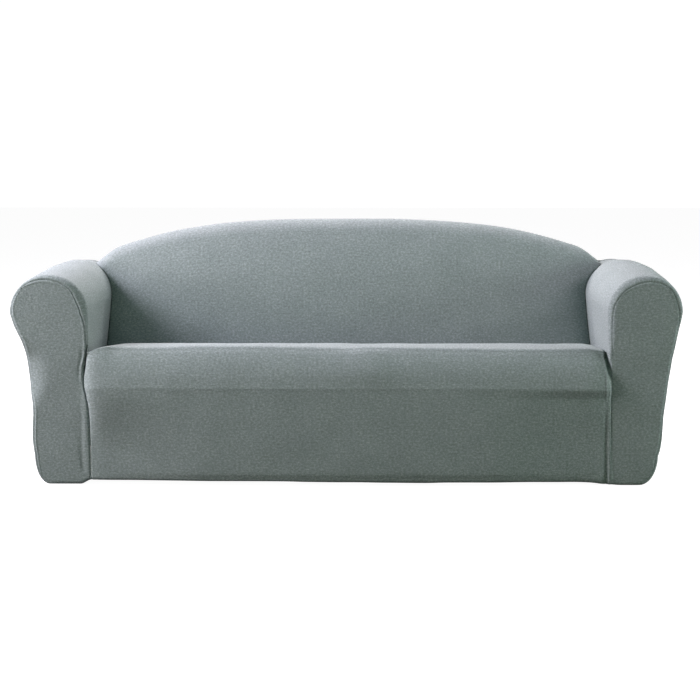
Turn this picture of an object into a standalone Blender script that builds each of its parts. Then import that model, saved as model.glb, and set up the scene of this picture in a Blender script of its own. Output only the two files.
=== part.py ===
"""Stretch slipcover for a three-seat sofa with rolled arms and an arched back.

Seven sewn panels of knitted cloth, drawn as they sit on the sofa, which is left out. Metres, +Z up.
The arm fronts face -Y, the lowest hem lies at z = 0, and x = 0, y = 0 is the middle of the plan.
A place across the cover is given as its distance from the middle plane, called the reach, and the
arm's side (-1 left, +1 right) turns it into x. Depths are measured back from the plane of the arm fronts.
"""

import math
from collections import namedtuple

import bmesh
import bpy

# Cloth and seams
CLOTH = 0.002  # thickness of the knit
GAP = 0.0003  # between two panels along their seam
CORNER_GAP = 0.0010  # below the inside arm's front corner, where three panels meet
STRIP = 0.003  # flat margin of cloth beside a seam that lies next to a rounded corner
CLOTH_COLOR = (0.205, 0.240, 0.238, 1.0)
CLOTH_ROUGHNESS = 0.92

# Depth of the cover
FRONT_Y = -0.424  # plane of the arm fronts and the skirt
REAR_DEPTH = 0.860  # outside back, behind that plane
REAR_ROUND = 0.015  # radius of the rear corners
REAR_SEAM = REAR_DEPTH - REAR_ROUND - STRIP

# Hem: rounded under the sofa's lower edge, then turned in
HEM_ROUND = 0.012
HEM_TURN = 0.025
SKIRT_HEM = 0.011  # height of the skirt's hem between the arms
HEM_STEP = (0.004, 0.040)  # past its seam with the skirt, over this width, the hem drops to the arm's

# Rolled arms
DROP_DEPTHS = (0.600, 0.840)  # the top of the roll falls away to the rear between these depths
SWELL_ANGLE = math.radians(58.0)  # the roll swells most here, half way to the rear
FOOT_HEIGHT = 0.095  # the outside arm starts to curve under at this height
ARM_CROWN = 0.005  # how far the front panel of an arm swells

# Inside back and its arched crest
BACK_DEPTH = 0.585  # the inside back meets the deck here
BACK_FOOT = 0.388  # height of that seam
BACK_LEAN = math.tan(math.radians(12.0))
BACK_CROWN = 0.009
CREST_HEIGHT = 0.841
CREST_CURVE = 0.1685  # the arch falls by this times the cube of the reach
CREST_ENDS = (0.850, 0.075, 0.027)  # past this reach, over this width, it falls by this much more
CREST_ROUND = 0.050  # radius from the inside back over to the top
CREST_FALL = 0.014  # the top slopes down this much to the rear seam
NOTCH_ANGLE = math.radians(4.0)  # the arch's seam on the arm drifts outwards by this angle of the roll

# Seat
DECK_SIDE_FRONT = 0.437  # height of the deck's seam with the inside arm, at the front
SIDE_FALL = 0.090  # width over which the cushion's top rounds down to that seam
SIDE_TUCK = 0.024  # width over which the cushion's front turns back to the arm
TROUGH_HALF = 0.011  # half width of the soft trough between skirt and arm front

Arm = namedtuple(
    "Arm",
    "name side roll_reach roll_height roll_radius toe drop swell deck_front deck_rear deck_inset "
    "roll_inset foot_round flap",
)
LEFT = Arm(
    name="left", side=-1, roll_reach=0.975, roll_height=0.568, roll_radius=0.127, toe=0.008, drop=0.016,
    swell=0.007, deck_front=0.845, deck_rear=0.877, deck_inset=0.009, roll_inset=0.012, foot_round=0.049,
    flap=0.022,
)
RIGHT = Arm(
    name="right", side=1, roll_reach=0.981, roll_height=0.573, roll_radius=0.1200, toe=0.001, drop=0.009,
    swell=0.016, deck_front=0.868, deck_rear=0.880, deck_inset=0.012, roll_inset=0.018, foot_round=0.060,
    flap=0.022,
)

# Outside of each arm below the roll: the reach of the cloth at a height
SideRow = namedtuple("SideRow", "height left right")
OUTER_SIDE = (
    SideRow(0.545, 1.0940, 1.0965),
    SideRow(0.510, 1.0770, 1.0890),
    SideRow(0.475, 1.0630, 1.0840),
    SideRow(0.430, 1.0540, 1.0750),
    SideRow(0.360, 1.0440, 1.0640),
    SideRow(0.270, 1.0365, 1.0510),
    SideRow(0.170, 1.0350, 1.0440),
    SideRow(FOOT_HEIGHT, 1.0310, 1.0340),
)

# Front of the cover below the deck. bulge: how far the cushion stands forward of the arm fronts.
# seam: reach of the seam between skirt and arm front. trough, depth: the soft trough beside it.
FrontRow = namedtuple(
    "FrontRow", "height bulge left_seam left_trough left_depth right_seam right_trough right_depth"
)
FRONT_ROWS = (
    FrontRow(0.437, 0.0040, 0.8540, 0.8540, 0.0000, 0.8800, 0.8800, 0.0000),
    FrontRow(0.415, 0.0090, 0.8555, 0.8550, 0.0090, 0.8715, 0.8690, 0.0110),
    FrontRow(0.385, 0.0120, 0.8590, 0.8590, 0.0120, 0.8715, 0.8695, 0.0160),
    FrontRow(0.350, 0.0115, 0.8630, 0.8635, 0.0100, 0.8755, 0.8735, 0.0120),
    FrontRow(0.321, -0.0010, 0.8620, 0.8660, 0.0070, 0.8765, 0.8590, 0.0070),
    FrontRow(0.300, 0.0010, 0.8575, 0.8670, 0.0060, 0.8755, 0.8590, 0.0070),
    FrontRow(0.250, 0.0000, 0.8495, 0.8700, 0.0050, 0.8755, 0.8590, 0.0060),
    FrontRow(0.170, 0.0000, 0.8460, 0.8750, 0.0060, 0.8765, 0.8590, 0.0060),
    FrontRow(0.090, 0.0000, 0.8450, 0.8740, 0.0060, 0.8770, 0.8600, 0.0060),
    FrontRow(0.024, 0.0000, 0.8450, 0.8690, 0.0040, 0.8770, 0.8600, 0.0040),
)

# Middle line of the seat, from the inside back to the front edge
DeckRow = namedtuple("DeckRow", "depth height")
DECK_ROWS = (
    DeckRow(0.585, BACK_FOOT),
    DeckRow(0.490, 0.4035),
    DeckRow(0.390, 0.4180),
    DeckRow(0.290, 0.4320),
    DeckRow(0.190, 0.4460),
    DeckRow(0.110, 0.4560),
    DeckRow(0.060, 0.4600),
    DeckRow(0.030, 0.4595),
)
# The front edge of the cushion, one row for each step of the rounding on the arm beside it
EDGE_ROWS = (DeckRow(0.016, 0.4570), DeckRow(0.008, 0.4525), DeckRow(0.002, 0.4470), DeckRow(-0.002, 0.4420))

# Steps of the meshes
INNER_STEPS = 4  # inside arm, from the deck to the middle of the roll
ROLL_STARTS = (math.radians(165.0), math.radians(150.0))
CREST_STEPS = (1.0, 0.617, 0.293, 0.076, 0.0)  # drops below the crest, as parts of its radius
ROLL_STEPS = 8  # over the top of the roll and down to its outer side
FOOT_STEPS = 4
CORNER_STEPS = 3
STRAIGHT_PARTS = (0.22, 0.45, 0.65, 0.82, 0.92, 1.0)
BACK_COLUMNS = 26
SKIRT_COLUMNS = 5
SIDE_DISTANCES = (0.0, 0.006, 0.014, 0.025, 0.045, 0.075, 0.120)
SEAT_MIDDLE = 6


def lerp(start, end, part):
    return start + (end - start) * part


def smooth(part):
    part = min(max(part, 0.0), 1.0)
    return part * part * (3.0 - 2.0 * part)


def bell(offset, half_width):
    """1 at the centre, falling smoothly to 0 at the half width."""
    return math.cos(math.pi / 2 * min(abs(offset) / half_width, 1.0)) ** 2


def column(rows, name, height):
    """A table's column, read at a height between its rows."""
    if height >= rows[0].height:
        return getattr(rows[0], name)
    for upper, lower in zip(rows, rows[1:]):
        if height >= lower.height:
            part = (upper.height - height) / (upper.height - lower.height)
            return lerp(getattr(upper, name), getattr(lower, name), part)
    return getattr(rows[-1], name)


# The arched back

def crest_height(reach):
    start, width, extra = CREST_ENDS
    reach = abs(reach)
    return CREST_HEIGHT - CREST_CURVE * reach**3 - extra * (max(reach - start, 0.0) / width) ** 1.3


def crest_turn(below):
    """How far back the cloth has turned at a distance below the crest."""
    rise = CREST_ROUND - min(max(below, 0.0), CREST_ROUND)
    return CREST_ROUND - math.sqrt(CREST_ROUND**2 - rise**2)


def back_depth(height, below):
    return BACK_DEPTH + (height - BACK_FOOT) * BACK_LEAN + crest_turn(below)


# Arms

def roll_point(arm, angle, depth):
    """Reach and height on the roll: angle 0 is its outer side, 90 degrees its top."""
    first, last = DROP_DEPTHS
    swell = max(math.cos(angle - SWELL_ANGLE), 0.0) ** 4
    radius = arm.roll_radius + arm.swell * swell * math.sin(math.pi * min(max(depth / last, 0.0), 1.0))
    reach = arm.roll_reach + radius * math.cos(angle)
    reach += arm.toe * depth / BACK_DEPTH * max(-math.cos(angle), 0.0)
    drop = arm.drop * smooth((depth - first) / (last - first)) * max(math.sin(angle), 0.0)
    return reach, arm.roll_height + radius * math.sin(angle) - drop


def deck_side(arm, depth):
    """Reach and height of the seam between the deck and the inside arm."""
    start = arm.deck_inset - STRIP
    part = min(max((depth - start) / (BACK_DEPTH - start), 0.0), 1.0)
    return lerp(arm.deck_front, arm.deck_rear, part), lerp(DECK_SIDE_FRONT, BACK_FOOT, part)


def meet_back(point_at, below):
    """The depth at which a line of the arm, given as a function of depth, meets the inside back."""
    depth = BACK_DEPTH
    for _ in range(8):
        reach, height = point_at(depth)
        depth = back_depth(height, crest_height(reach) - height if below is None else below)
    return depth


def landing_angle(arm, below):
    """Where on the roll a line at a distance below the crest lands."""
    inner, outer = math.radians(176.0), math.radians(90.0)
    for _ in range(40):
        angle = (inner + outer) / 2
        depth = meet_back(lambda at: roll_point(arm, angle, at), below)
        reach, height = roll_point(arm, angle, depth)
        if crest_height(reach) - height > below:
            inner = angle
        else:
            outer = angle
    return angle


def section_lines(arm):
    """The arm's section as a list of functions of depth, from the deck over the roll to the turned hem."""
    def inside(part):
        def at(depth):
            low, high = deck_side(arm, depth), roll_point(arm, math.pi, depth)
            return lerp(low[0], high[0], part**0.75), lerp(low[1], high[1], part)
        return at

    def on_roll(angle):
        return lambda depth: roll_point(arm, angle, depth)

    def fixed(reach, height):
        return lambda depth: (reach, height)

    lines = [inside(step / INNER_STEPS) for step in range(INNER_STEPS + 1)]
    lines += [on_roll(angle) for angle in ROLL_STARTS]
    landings = [landing_angle(arm, part * CREST_ROUND) for part in CREST_STEPS]
    notch = landings[-1] - NOTCH_ANGLE
    lines += [on_roll(angle) for angle in landings]
    lines += [on_roll(notch * (1 - step / ROLL_STEPS)) for step in range(ROLL_STEPS + 1)]
    lines += [fixed(getattr(row, arm.name), row.height) for row in OUTER_SIDE]
    foot = getattr(OUTER_SIDE[-1], arm.name) - arm.foot_round
    for step in range(1, FOOT_STEPS + 1):
        angle = math.pi / 2 * step / FOOT_STEPS
        lines.append(fixed(foot + arm.foot_round * math.cos(angle), FOOT_HEIGHT * (1 - math.sin(angle))))
    lines.append(fixed(foot - arm.flap, 0.0))
    return lines


CROWN_INNER = INNER_STEPS + len(ROLL_STARTS)  # corners of the front panel at the top of the roll
LANDING = CROWN_INNER + len(CREST_STEPS)  # the crest line lands on the roll
NOTCH = LANDING + 1  # the same seam at the rear
END = NOTCH + ROLL_STEPS + len(OUTER_SIDE) + FOOT_STEPS + 1  # turned hem
FOOT = END - 1 - FOOT_STEPS // 2  # middle of the curve at the foot
FRONT_SIDE_ROWS = len(FRONT_ROWS) - 1 + CROWN_INNER
CROWN_OUTER = FOOT - FRONT_SIDE_ROWS


def inward(points):
    """Unit normals into the arm, along its section. The deck's seam runs level into the front."""
    normals = [(1.0, 0.0)]
    for index in range(1, len(points)):
        before, after = points[index - 1], points[min(index + 1, len(points) - 1)]
        along, up = after[0] - before[0], after[1] - before[1]
        length = math.hypot(along, up)
        normals.append((up / length, -along / length))
    return normals


def inset_of(arm, index):
    """How far the front seam lies inside the arm's section."""
    return lerp(arm.deck_inset, arm.roll_inset, min(index / INNER_STEPS, 1.0))


def front_section(arm, shift):
    """The section at the front, moved inwards to the seam and a little past it by a shift."""
    points = [line(0.0) for line in section_lines(arm)]
    moved = []
    for index, ((reach, height), normal) in enumerate(zip(points, inward(points))):
        inset = inset_of(arm, index) + shift
        moved.append((reach + normal[0] * inset, height + normal[1] * inset))
    return moved


def place(arm, reach, depth, height):
    return (arm.side * reach, FRONT_Y + depth, height)


def arm_wrap(arm):
    """Inside arm, roll and outside arm: rows along the section, columns from the front seam to the rear."""
    lines = section_lines(arm)
    points = [line(0.0) for line in lines]
    normals = inward(points)
    rows = []
    for index, line in enumerate(lines):
        inset = inset_of(arm, index)
        radius = inset - STRIP
        (reach, height), (across, up) = points[index], normals[index]
        shift = inset - GAP / 2
        row = [place(arm, reach + across * shift, 0.0, height + up * shift)]
        for step in range(CORNER_STEPS, -1, -1):
            angle = math.pi / 2 * step / CORNER_STEPS
            shift = radius * (1 - math.cos(angle))
            row.append(
                place(arm, reach + across * shift, radius * (1 - math.sin(angle)), height + up * shift)
            )
        far = (meet_back(line, None) if index <= LANDING else REAR_SEAM) - GAP / 2
        for part in STRAIGHT_PARTS:
            depth = lerp(radius, far, part)
            reach, height = line(depth)
            row.append(place(arm, reach, depth, height))
        rows.append(row)
    return rows


def back_side(arm):
    """The side edge of the inside back, just clear of the inside arm, up to the crest line."""
    edge = []
    for line in section_lines(arm)[: LANDING + 1]:
        depth = meet_back(line, None)
        reach, height = line(depth)
        edge.append((reach - GAP, depth, height))
    return edge


# Panels that meet the front plane

def trough(arm, reach, height):
    """Depth of the soft trough beside the front seam."""
    centre = column(FRONT_ROWS, arm.name + "_trough", height)
    return column(FRONT_ROWS, arm.name + "_depth", height) * bell(reach - centre, TROUGH_HALF)


def hem_height(arm, reach):
    start, width = HEM_STEP
    past = reach - getattr(FRONT_ROWS[-1], arm.name + "_seam") - start
    return SKIRT_HEM * (1 - smooth(past / width))


def hem_rows(radius):
    """Rounding under and turned hem, as pairs of depth and height over the hem."""
    rows = []
    for step in range(1, CORNER_STEPS + 1):
        angle = math.pi / 2 * step / CORNER_STEPS
        rows.append((radius * (1 - math.cos(angle)), radius * (1 - math.sin(angle))))
    return rows + [(radius + HEM_TURN, 0.0)]


def patch(left, right, bottom, top):
    """A grid of points inside four edges. left and right run upwards, bottom and top from left to right."""
    def parts(edge):
        steps = [math.dist(a, b) for a, b in zip(edge, edge[1:])]
        return [sum(steps[:index]) / sum(steps) for index in range(len(edge))]

    def mix(a, b, part):
        return tuple(lerp(p, q, part) for p, q in zip(a, b))

    low, high = parts(bottom), parts(top)
    grid = []
    for row, (start, end) in enumerate(zip(left, right)):
        rise = row / (len(left) - 1)
        points = []
        for index in range(len(bottom)):
            point = mix(start, end, lerp(low[index], high[index], rise))
            on_bottom = mix(bottom[0], bottom[-1], low[index])
            on_top = mix(top[0], top[-1], high[index])
            points.append(
                tuple(
                    p + (1 - rise) * (b - ob) + rise * (t - ot)
                    for p, b, ob, t, ot in zip(point, bottom[index], on_bottom, top[index], on_top)
                )
            )
        grid.append(points)
    return grid


def arm_front(arm):
    """Front panel of an arm: rows upwards, columns outwards, and the turned hem as its own short rows."""
    seam = front_section(arm, GAP / 2)
    end_reach = seam[END][0] - GAP
    radius = arm.roll_inset - STRIP
    inner = []
    for row in reversed(FRONT_ROWS[1:]):
        reach = getattr(row, arm.name + "_seam") + GAP / 2
        inner.append((reach, row.height))
    inner[0] = (inner[0][0], hem_height(arm, inner[0][0]) + arm.roll_inset)
    inner += [seam[index] for index in range(CROWN_INNER + 1)]
    outer = [seam[index] for index in range(FOOT, CROWN_OUTER - 1, -1)]
    bottom = [inner[0]]
    for step in range(1, SKIRT_COLUMNS + 1):
        reach = lerp(inner[0][0], end_reach, (step / (SKIRT_COLUMNS + 1)) ** 1.2)
        bottom.append((reach, hem_height(arm, reach) + arm.roll_inset))
    bottom.append((end_reach, seam[END][1]))
    bottom += [seam[index] for index in range(END - 1, FOOT - 1, -1)]
    top = [seam[index] for index in range(CROWN_INNER, CROWN_OUTER + 1)]
    flat = patch(inner, outer, bottom, top)
    rows = []
    for up, points in enumerate(flat):
        row = []
        for across, (reach, height) in enumerate(points):
            swell = math.sin(math.pi * up / (len(flat) - 1)) * math.sin(math.pi * across / (len(points) - 1))
            row.append(place(arm, reach, trough(arm, reach, height) - ARM_CROWN * swell, height))
        rows.append(row)
    flap = []
    for back, over in reversed([(0.0, radius)] + hem_rows(radius)):
        row = []
        for reach, height in flat[0][: SKIRT_COLUMNS + 2]:
            row.append(place(arm, reach, trough(arm, reach, height) + back, hem_height(arm, reach) + over))
        flap.append(row)
    return flap, rows


def seat_row(middle, sides, bulges=False):
    """One row of the seat from left to right: its middle (depth, height) and its two side points."""
    row = []
    left, right = sides
    reaches = [(LEFT, left[0] - distance) for distance in SIDE_DISTANCES]
    inner_left, inner_right = left[0] - SIDE_DISTANCES[-1], right[0] - SIDE_DISTANCES[-1]
    for step in range(1, SEAT_MIDDLE):
        x = lerp(-inner_left, inner_right, step / SEAT_MIDDLE)
        reaches.append((RIGHT if x > 0 else LEFT, abs(x)))
    reaches += [(RIGHT, right[0] - distance) for distance in reversed(SIDE_DISTANCES)]
    for arm, reach in reaches:
        side = right if arm is RIGHT else left
        distance = side[0] - reach
        fall = max(1 - distance / SIDE_FALL, 0.0) ** 2
        tuck = 1 - smooth(distance / SIDE_TUCK)
        depth = lerp(middle[0], side[1], tuck)
        height = lerp(middle[1], side[2], fall)
        if bulges:
            depth += trough(arm, reach, height)
        row.append(place(arm, reach, depth, height))
    return row


def seat_front():
    """Deck, cushion front and skirt in one cloth, from the inside back to the turned hem."""
    rows = []
    for depth, height in DECK_ROWS:
        sides = [(reach - GAP, depth, low) for reach, low in (deck_side(arm, depth) for arm in (LEFT, RIGHT))]
        rows.append(seat_row((depth - (GAP if depth == BACK_DEPTH else 0.0), height), sides))
    for step, middle in enumerate(EDGE_ROWS):
        sides = []
        for arm in (LEFT, RIGHT):
            radius = arm.deck_inset - STRIP
            angle = math.pi / 2 * step / CORNER_STEPS
            reach, height = deck_side(arm, 0.0)
            reach += radius * (1 - math.cos(angle)) - GAP
            sides.append((reach, radius * (1 - math.sin(angle)), height - CORNER_GAP))
        rows.append(seat_row(middle, sides))
    for row in FRONT_ROWS:
        sides = [(getattr(row, arm.name + "_seam") - GAP / 2, 0.0, row.height) for arm in (LEFT, RIGHT)]
        if row is FRONT_ROWS[0]:
            sides = [(reach - GAP, depth, height - CORNER_GAP) for reach, depth, height in sides]
        rows.append(seat_row((-row.bulge, row.height), sides, bulges=True))
    last = rows[-1]
    for back, over in [(0.0, HEM_ROUND)] + hem_rows(HEM_ROUND):
        rows.append([(x, y + back, SKIRT_HEM + over) for x, y, _ in last])
    return rows


def inside_back():
    """Inside back from the deck seam, over the crest and back to the rear seam."""
    left, right = back_side(LEFT), back_side(RIGHT)

    def across(part):
        """Columns are closer together near the arms."""
        return 0.35 * part + 0.325 * (1 - math.cos(math.pi * part))

    parts = [across(step / BACK_COLUMNS) for step in range(BACK_COLUMNS + 1)]
    face_rows = CROWN_INNER + 2
    below = CREST_STEPS[0] * CREST_ROUND
    bottom = [(lerp(-left[0][0], right[0][0], part), BACK_FOOT + GAP) for part in parts]
    start, end = left[face_rows - 1], right[face_rows - 1]
    top = []
    for part in parts:
        x = lerp(-start[0], end[0], part)
        top.append((x, crest_height(x) - below))
    top[0], top[-1] = (-start[0], start[2]), (end[0], end[2])
    bottom[0], bottom[-1] = (bottom[0][0], left[0][2] + GAP), (bottom[-1][0], right[0][2] + GAP)
    sides = [[(sign * reach, height) for reach, _, height in edge[:face_rows]]
             for sign, edge in ((-1, left), (1, right))]
    sides[0][0], sides[1][0] = bottom[0], bottom[-1]
    rows = []
    for up, points in enumerate(patch(sides[0], sides[1], bottom, top)):
        row = []
        for part, (x, height) in zip(parts, points):
            swell = math.sin(math.pi * up / (face_rows - 1)) * math.sin(math.pi * part)
            row.append((x, FRONT_Y + back_depth(height, below) - BACK_CROWN * swell, height))
        row[0] = (row[0][0], FRONT_Y + left[up][1], row[0][2])
        row[-1] = (row[-1][0], FRONT_Y + right[up][1], row[-1][2])
        rows.append(row)
    for step in range(1, len(CREST_STEPS)):
        below = CREST_STEPS[step] * CREST_ROUND
        start, end = left[face_rows - 1 + step], right[face_rows - 1 + step]
        row = [place(LEFT, *start)]
        for part in parts[1:-1]:
            x = lerp(-start[0], end[0], part)
            height = crest_height(x) - below
            row.append((x, FRONT_Y + back_depth(height, below), height))
        rows.append(row + [place(RIGHT, *end)])
    return rows + crest_top(parts, left[-1], right[-1], rows[-1])


def crest_top(parts, start, end, front):
    """The top of the back, from the crest line to the rear seam, between the two arms."""
    ends = []
    for arm, landing in ((LEFT, start), (RIGHT, end)):
        reach, height = section_lines(arm)[NOTCH](REAR_SEAM)
        ends.append([landing, (reach - GAP, REAR_SEAM + GAP / 2, height)])
    rows = []
    for step in (1 / 3, 2 / 3, 1.0):
        (left, right) = [[lerp(a, b, step) for a, b in zip(*pair)] for pair in ends]
        row = []
        for part, crest in zip(parts, front):
            x = lerp(-left[0], right[0], part)
            edge = abs(2 * part - 1) ** 6
            side = left if part < 0.5 else right
            fall = lerp(CREST_FALL * step**1.5, crest_height(side[0]) - side[2], edge)
            y = FRONT_Y - GAP if step == 1.0 else FRONT_Y
            depth = lerp(crest[1] - FRONT_Y, REAR_SEAM, step)
            row.append((x, y + lerp(depth, side[1], edge), crest_height(x) - fall))
        rows.append(row)
    return rows


# Outside back

def rear_outline():
    """Outline of the outside back, from the left hem over the arch to the right hem, as x and height."""
    sides = []
    for arm in (LEFT, RIGHT):
        points = [line(REAR_SEAM) for line in section_lines(arm)[NOTCH:]]
        sides.append([(arm.side * reach, height) for reach, height in points])
    arch = [(x, height) for x, _, height in inside_back()[-1][1:-1:2]]
    outline = sides[0][::-1] + arch + sides[1]
    start, end = outline[-1][0], outline[0][0]
    steps = 8
    return outline, [(lerp(start, end, step / steps), 0.0) for step in range(1, steps)]


def inset_loop(loop, distance):
    """A closed outline moved inwards, each corner along the mean of its two sides' normals."""
    moved = []
    for index, (x, z) in enumerate(loop):
        normals = []
        for first, second in ((loop[index - 1], (x, z)), ((x, z), loop[(index + 1) % len(loop)])):
            length = math.dist(first, second)
            normals.append(((second[1] - first[1]) / length, (first[0] - second[0]) / length))
        across, up = (sum(parts) / 2 for parts in zip(*normals))
        scale = distance / (across**2 + up**2)
        moved.append((x + across * scale, z + up * scale))
    return moved


def outside_back():
    """Rings from the seam round the rear corner to the flat rear face; the hem's part is turned in."""
    outline, hem = rear_outline()
    loop = outline + hem
    first = []
    for index, (x, z) in enumerate(loop):
        turned = index >= len(outline)
        depth = REAR_DEPTH - REAR_ROUND - HEM_TURN if turned else REAR_SEAM + GAP / 2
        first.append((x, FRONT_Y + depth, z))
    rings = [first]
    for step in range(CORNER_STEPS + 1):
        angle = math.pi / 2 * step / CORNER_STEPS
        y = FRONT_Y + REAR_DEPTH - REAR_ROUND * (1 - math.sin(angle))
        moved = inset_loop(loop, REAR_ROUND * (1 - math.cos(angle)))
        rings.append([(x, y, z) for x, z in moved])
    return rings


# Objects

def cloth_material(name):
    material = bpy.data.materials.new(name)
    material.use_nodes = True
    shader = material.node_tree.nodes["Principled BSDF"]
    shader.inputs["Base Color"].default_value = CLOTH_COLOR
    shader.inputs["Roughness"].default_value = CLOTH_ROUGHNESS
    shader.inputs["Metallic"].default_value = 0.0
    return material


def loft(mesh, rows, closed=False):
    """Adds a loft through rows of points and returns its vertices, row by row."""
    made = [[mesh.verts.new(point) for point in row] for row in rows]
    for below, above in zip(made, made[1:]):
        count = len(below) if closed else len(below) - 1
        for index in range(count):
            after = (index + 1) % len(below)
            mesh.faces.new((below[index], below[after], above[after], above[index]))
    return made


def sheet(name, mesh, outwards, collection):
    """Makes an object of an open mesh, facing outwards at its middle, and gives it the cloth's thickness."""
    bmesh.ops.remove_doubles(mesh, verts=mesh.verts, dist=1e-6)
    bmesh.ops.recalc_face_normals(mesh, faces=mesh.faces)
    facing = sum(face.normal.dot(outwards(face.calc_center_median())) for face in mesh.faces)
    if facing < 0:
        bmesh.ops.reverse_faces(mesh, faces=mesh.faces)
    data = bpy.data.meshes.new(name)
    mesh.to_mesh(data)
    mesh.free()
    data.shade_smooth()
    data.materials.append(cloth_material(name))
    item = bpy.data.objects.new(name, data)
    collection.objects.link(item)
    thickness = item.modifiers.new("Cloth thickness", "SOLIDIFY")
    thickness.thickness = CLOTH
    thickness.offset = -1.0
    return item


def main():
    for item in list(bpy.data.objects):
        bpy.data.objects.remove(item, do_unlink=True)
    collection = bpy.data.collections.new("Sofa slipcover")
    bpy.context.scene.collection.children.link(collection)

    for arm in (LEFT, RIGHT):
        x, z = arm.side * arm.roll_reach, arm.roll_height
        mesh = bmesh.new()
        loft(mesh, arm_wrap(arm))
        sheet(f"arm_wrap_{arm.name}", mesh, lambda at: (at[0] - x, 0.0, at[2] - z), collection)
        mesh = bmesh.new()
        flap, face = arm_front(arm)
        loft(mesh, face)
        loft(mesh, flap + [face[0][: len(flap[0])]])
        sheet(f"arm_front_{arm.name}", mesh, lambda at: (0.0, -1.0, 0.0), collection)

    mesh = bmesh.new()
    loft(mesh, seat_front())
    sheet("seat_front", mesh, lambda at: (0.0, -1.0, 1.0), collection)

    mesh = bmesh.new()
    loft(mesh, inside_back())
    sheet("inside_back", mesh, lambda at: (0.0, -1.0, 1.0), collection)

    mesh = bmesh.new()
    rings = loft(mesh, outside_back(), closed=True)
    mesh.faces.new(rings[-1])
    sheet("outside_back", mesh, lambda at: (0.0, 1.0, 0.0), collection)


main()
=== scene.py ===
import math

import bpy
import numpy as np
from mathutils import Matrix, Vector, noise


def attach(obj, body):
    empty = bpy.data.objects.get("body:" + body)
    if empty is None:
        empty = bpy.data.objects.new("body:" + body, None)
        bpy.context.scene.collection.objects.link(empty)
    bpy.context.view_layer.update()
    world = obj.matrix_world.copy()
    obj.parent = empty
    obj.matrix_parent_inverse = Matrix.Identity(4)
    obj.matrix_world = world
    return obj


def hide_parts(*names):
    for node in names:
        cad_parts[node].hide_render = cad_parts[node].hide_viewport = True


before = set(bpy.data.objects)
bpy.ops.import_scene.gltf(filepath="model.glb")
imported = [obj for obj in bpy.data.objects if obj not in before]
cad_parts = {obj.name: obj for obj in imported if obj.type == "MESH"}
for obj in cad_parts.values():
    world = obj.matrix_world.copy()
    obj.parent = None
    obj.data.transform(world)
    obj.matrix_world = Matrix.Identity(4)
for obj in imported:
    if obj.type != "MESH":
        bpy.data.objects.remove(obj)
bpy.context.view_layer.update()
print("frame loaded")

# Everything is in metres. A reach is a distance from the middle plane of the cover,
# and an arm's side (-1 left, 1 right) turns it into x. Depths run back from the front plane.

coverSize = {
    "frontY": -0.424,          # plane of the arm fronts and the skirt
    "rearDepth": 0.860,        # outside back
    "rearRound": 0.015,
    "rearStrip": 0.003,        # the rear seam lies this far in front of that rounding
    "cloth": 0.0018,           # thickness of the knit
    "backDepth": 0.585,        # the inside back meets the deck here
    "backFoot": 0.388,         # and at this height
    "backLean": math.tan(math.radians(12.0)),
    "footHeight": 0.095,       # the outside arm starts to curve under here
    "deckCorner": 0.437,       # height of the deck where its sides meet the front
    "deckStart": 0.006,        # and the depth where they start
    "reliefDepth": 0.130,      # the folds and crevices of the front fade out over this depth
}
rearSeam = coverSize["rearDepth"] - coverSize["rearRound"] - coverSize["rearStrip"]

# Small helpers

def blendStep(part):
    part = np.clip(part, 0.0, 1.0)
    return part * part * (3.0 - 2.0 * part)


def mix(start, end, part):
    return start + (end - start) * part


def softCurve(stations, values):
    # a smooth line through a table's rows, read at any station between them
    x, y = np.asarray(stations, float), np.asarray(values, float)
    if x[0] > x[-1]:
        x, y = x[::-1], y[::-1]
    slopes = np.diff(y) / np.diff(x)
    tangents = np.empty_like(y)
    tangents[0], tangents[-1] = slopes[0], slopes[-1]
    before, after = slopes[:-1], slopes[1:]
    widths = np.diff(x)
    weighted = (before * widths[1:] + after * widths[:-1]) / (widths[1:] + widths[:-1])
    limit = 3 * np.minimum(abs(before), abs(after))
    tangents[1:-1] = np.where(before * after > 0, np.clip(weighted, -limit, limit), 0.0)

    def read(at):
        at = np.clip(np.asarray(at, float), x[0], x[-1])
        index = np.clip(np.searchsorted(x, at, side="right") - 1, 0, len(x) - 2)
        width = x[index + 1] - x[index]
        t = (at - x[index]) / width
        return (
            (1 + 2 * t) * (1 - t) ** 2 * y[index]
            + t * (1 - t) ** 2 * width * tangents[index]
            + t * t * (3 - 2 * t) * y[index + 1]
            + t * t * (t - 1) * width * tangents[index + 1]
        )

    return read


def readColumn(table, name, at, by="height"):
    # one column of a table, read at places along another
    return softCurve(table[by], table[name])(at)


meshSize = {
    "fine": 0.0016,            # spacing beside a seam
    "coarse": 0.0085,          # spacing in the open
}


def gradedParts(length, fine, coarse, margin, bothEnds=True):
    # places from 0 to 1 along a length, closer together at its ends
    places = [0.0]
    half = length / 2 if bothEnds else length
    while places[-1] < half:
        places.append(places[-1] + mix(fine, coarse, float(blendStep(places[-1] / margin))))
    places = np.array(places) * (half / places[-1])
    if bothEnds:
        places = np.concatenate([places, (length - places[:-1])[::-1]])
    return places / length


def partsOf(points):
    # where along a path each of its points lies, from 0 to 1
    lengths = np.cumsum(np.linalg.norm(np.diff(points, axis=0), axis=1))
    return np.concatenate([[0.0], lengths]) / lengths[-1]


def resample(points, parts):
    # points at given parts of a path's length
    at = partsOf(points)
    return np.stack([np.interp(parts, at, values) for values in np.asarray(points).T], axis=1)


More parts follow.
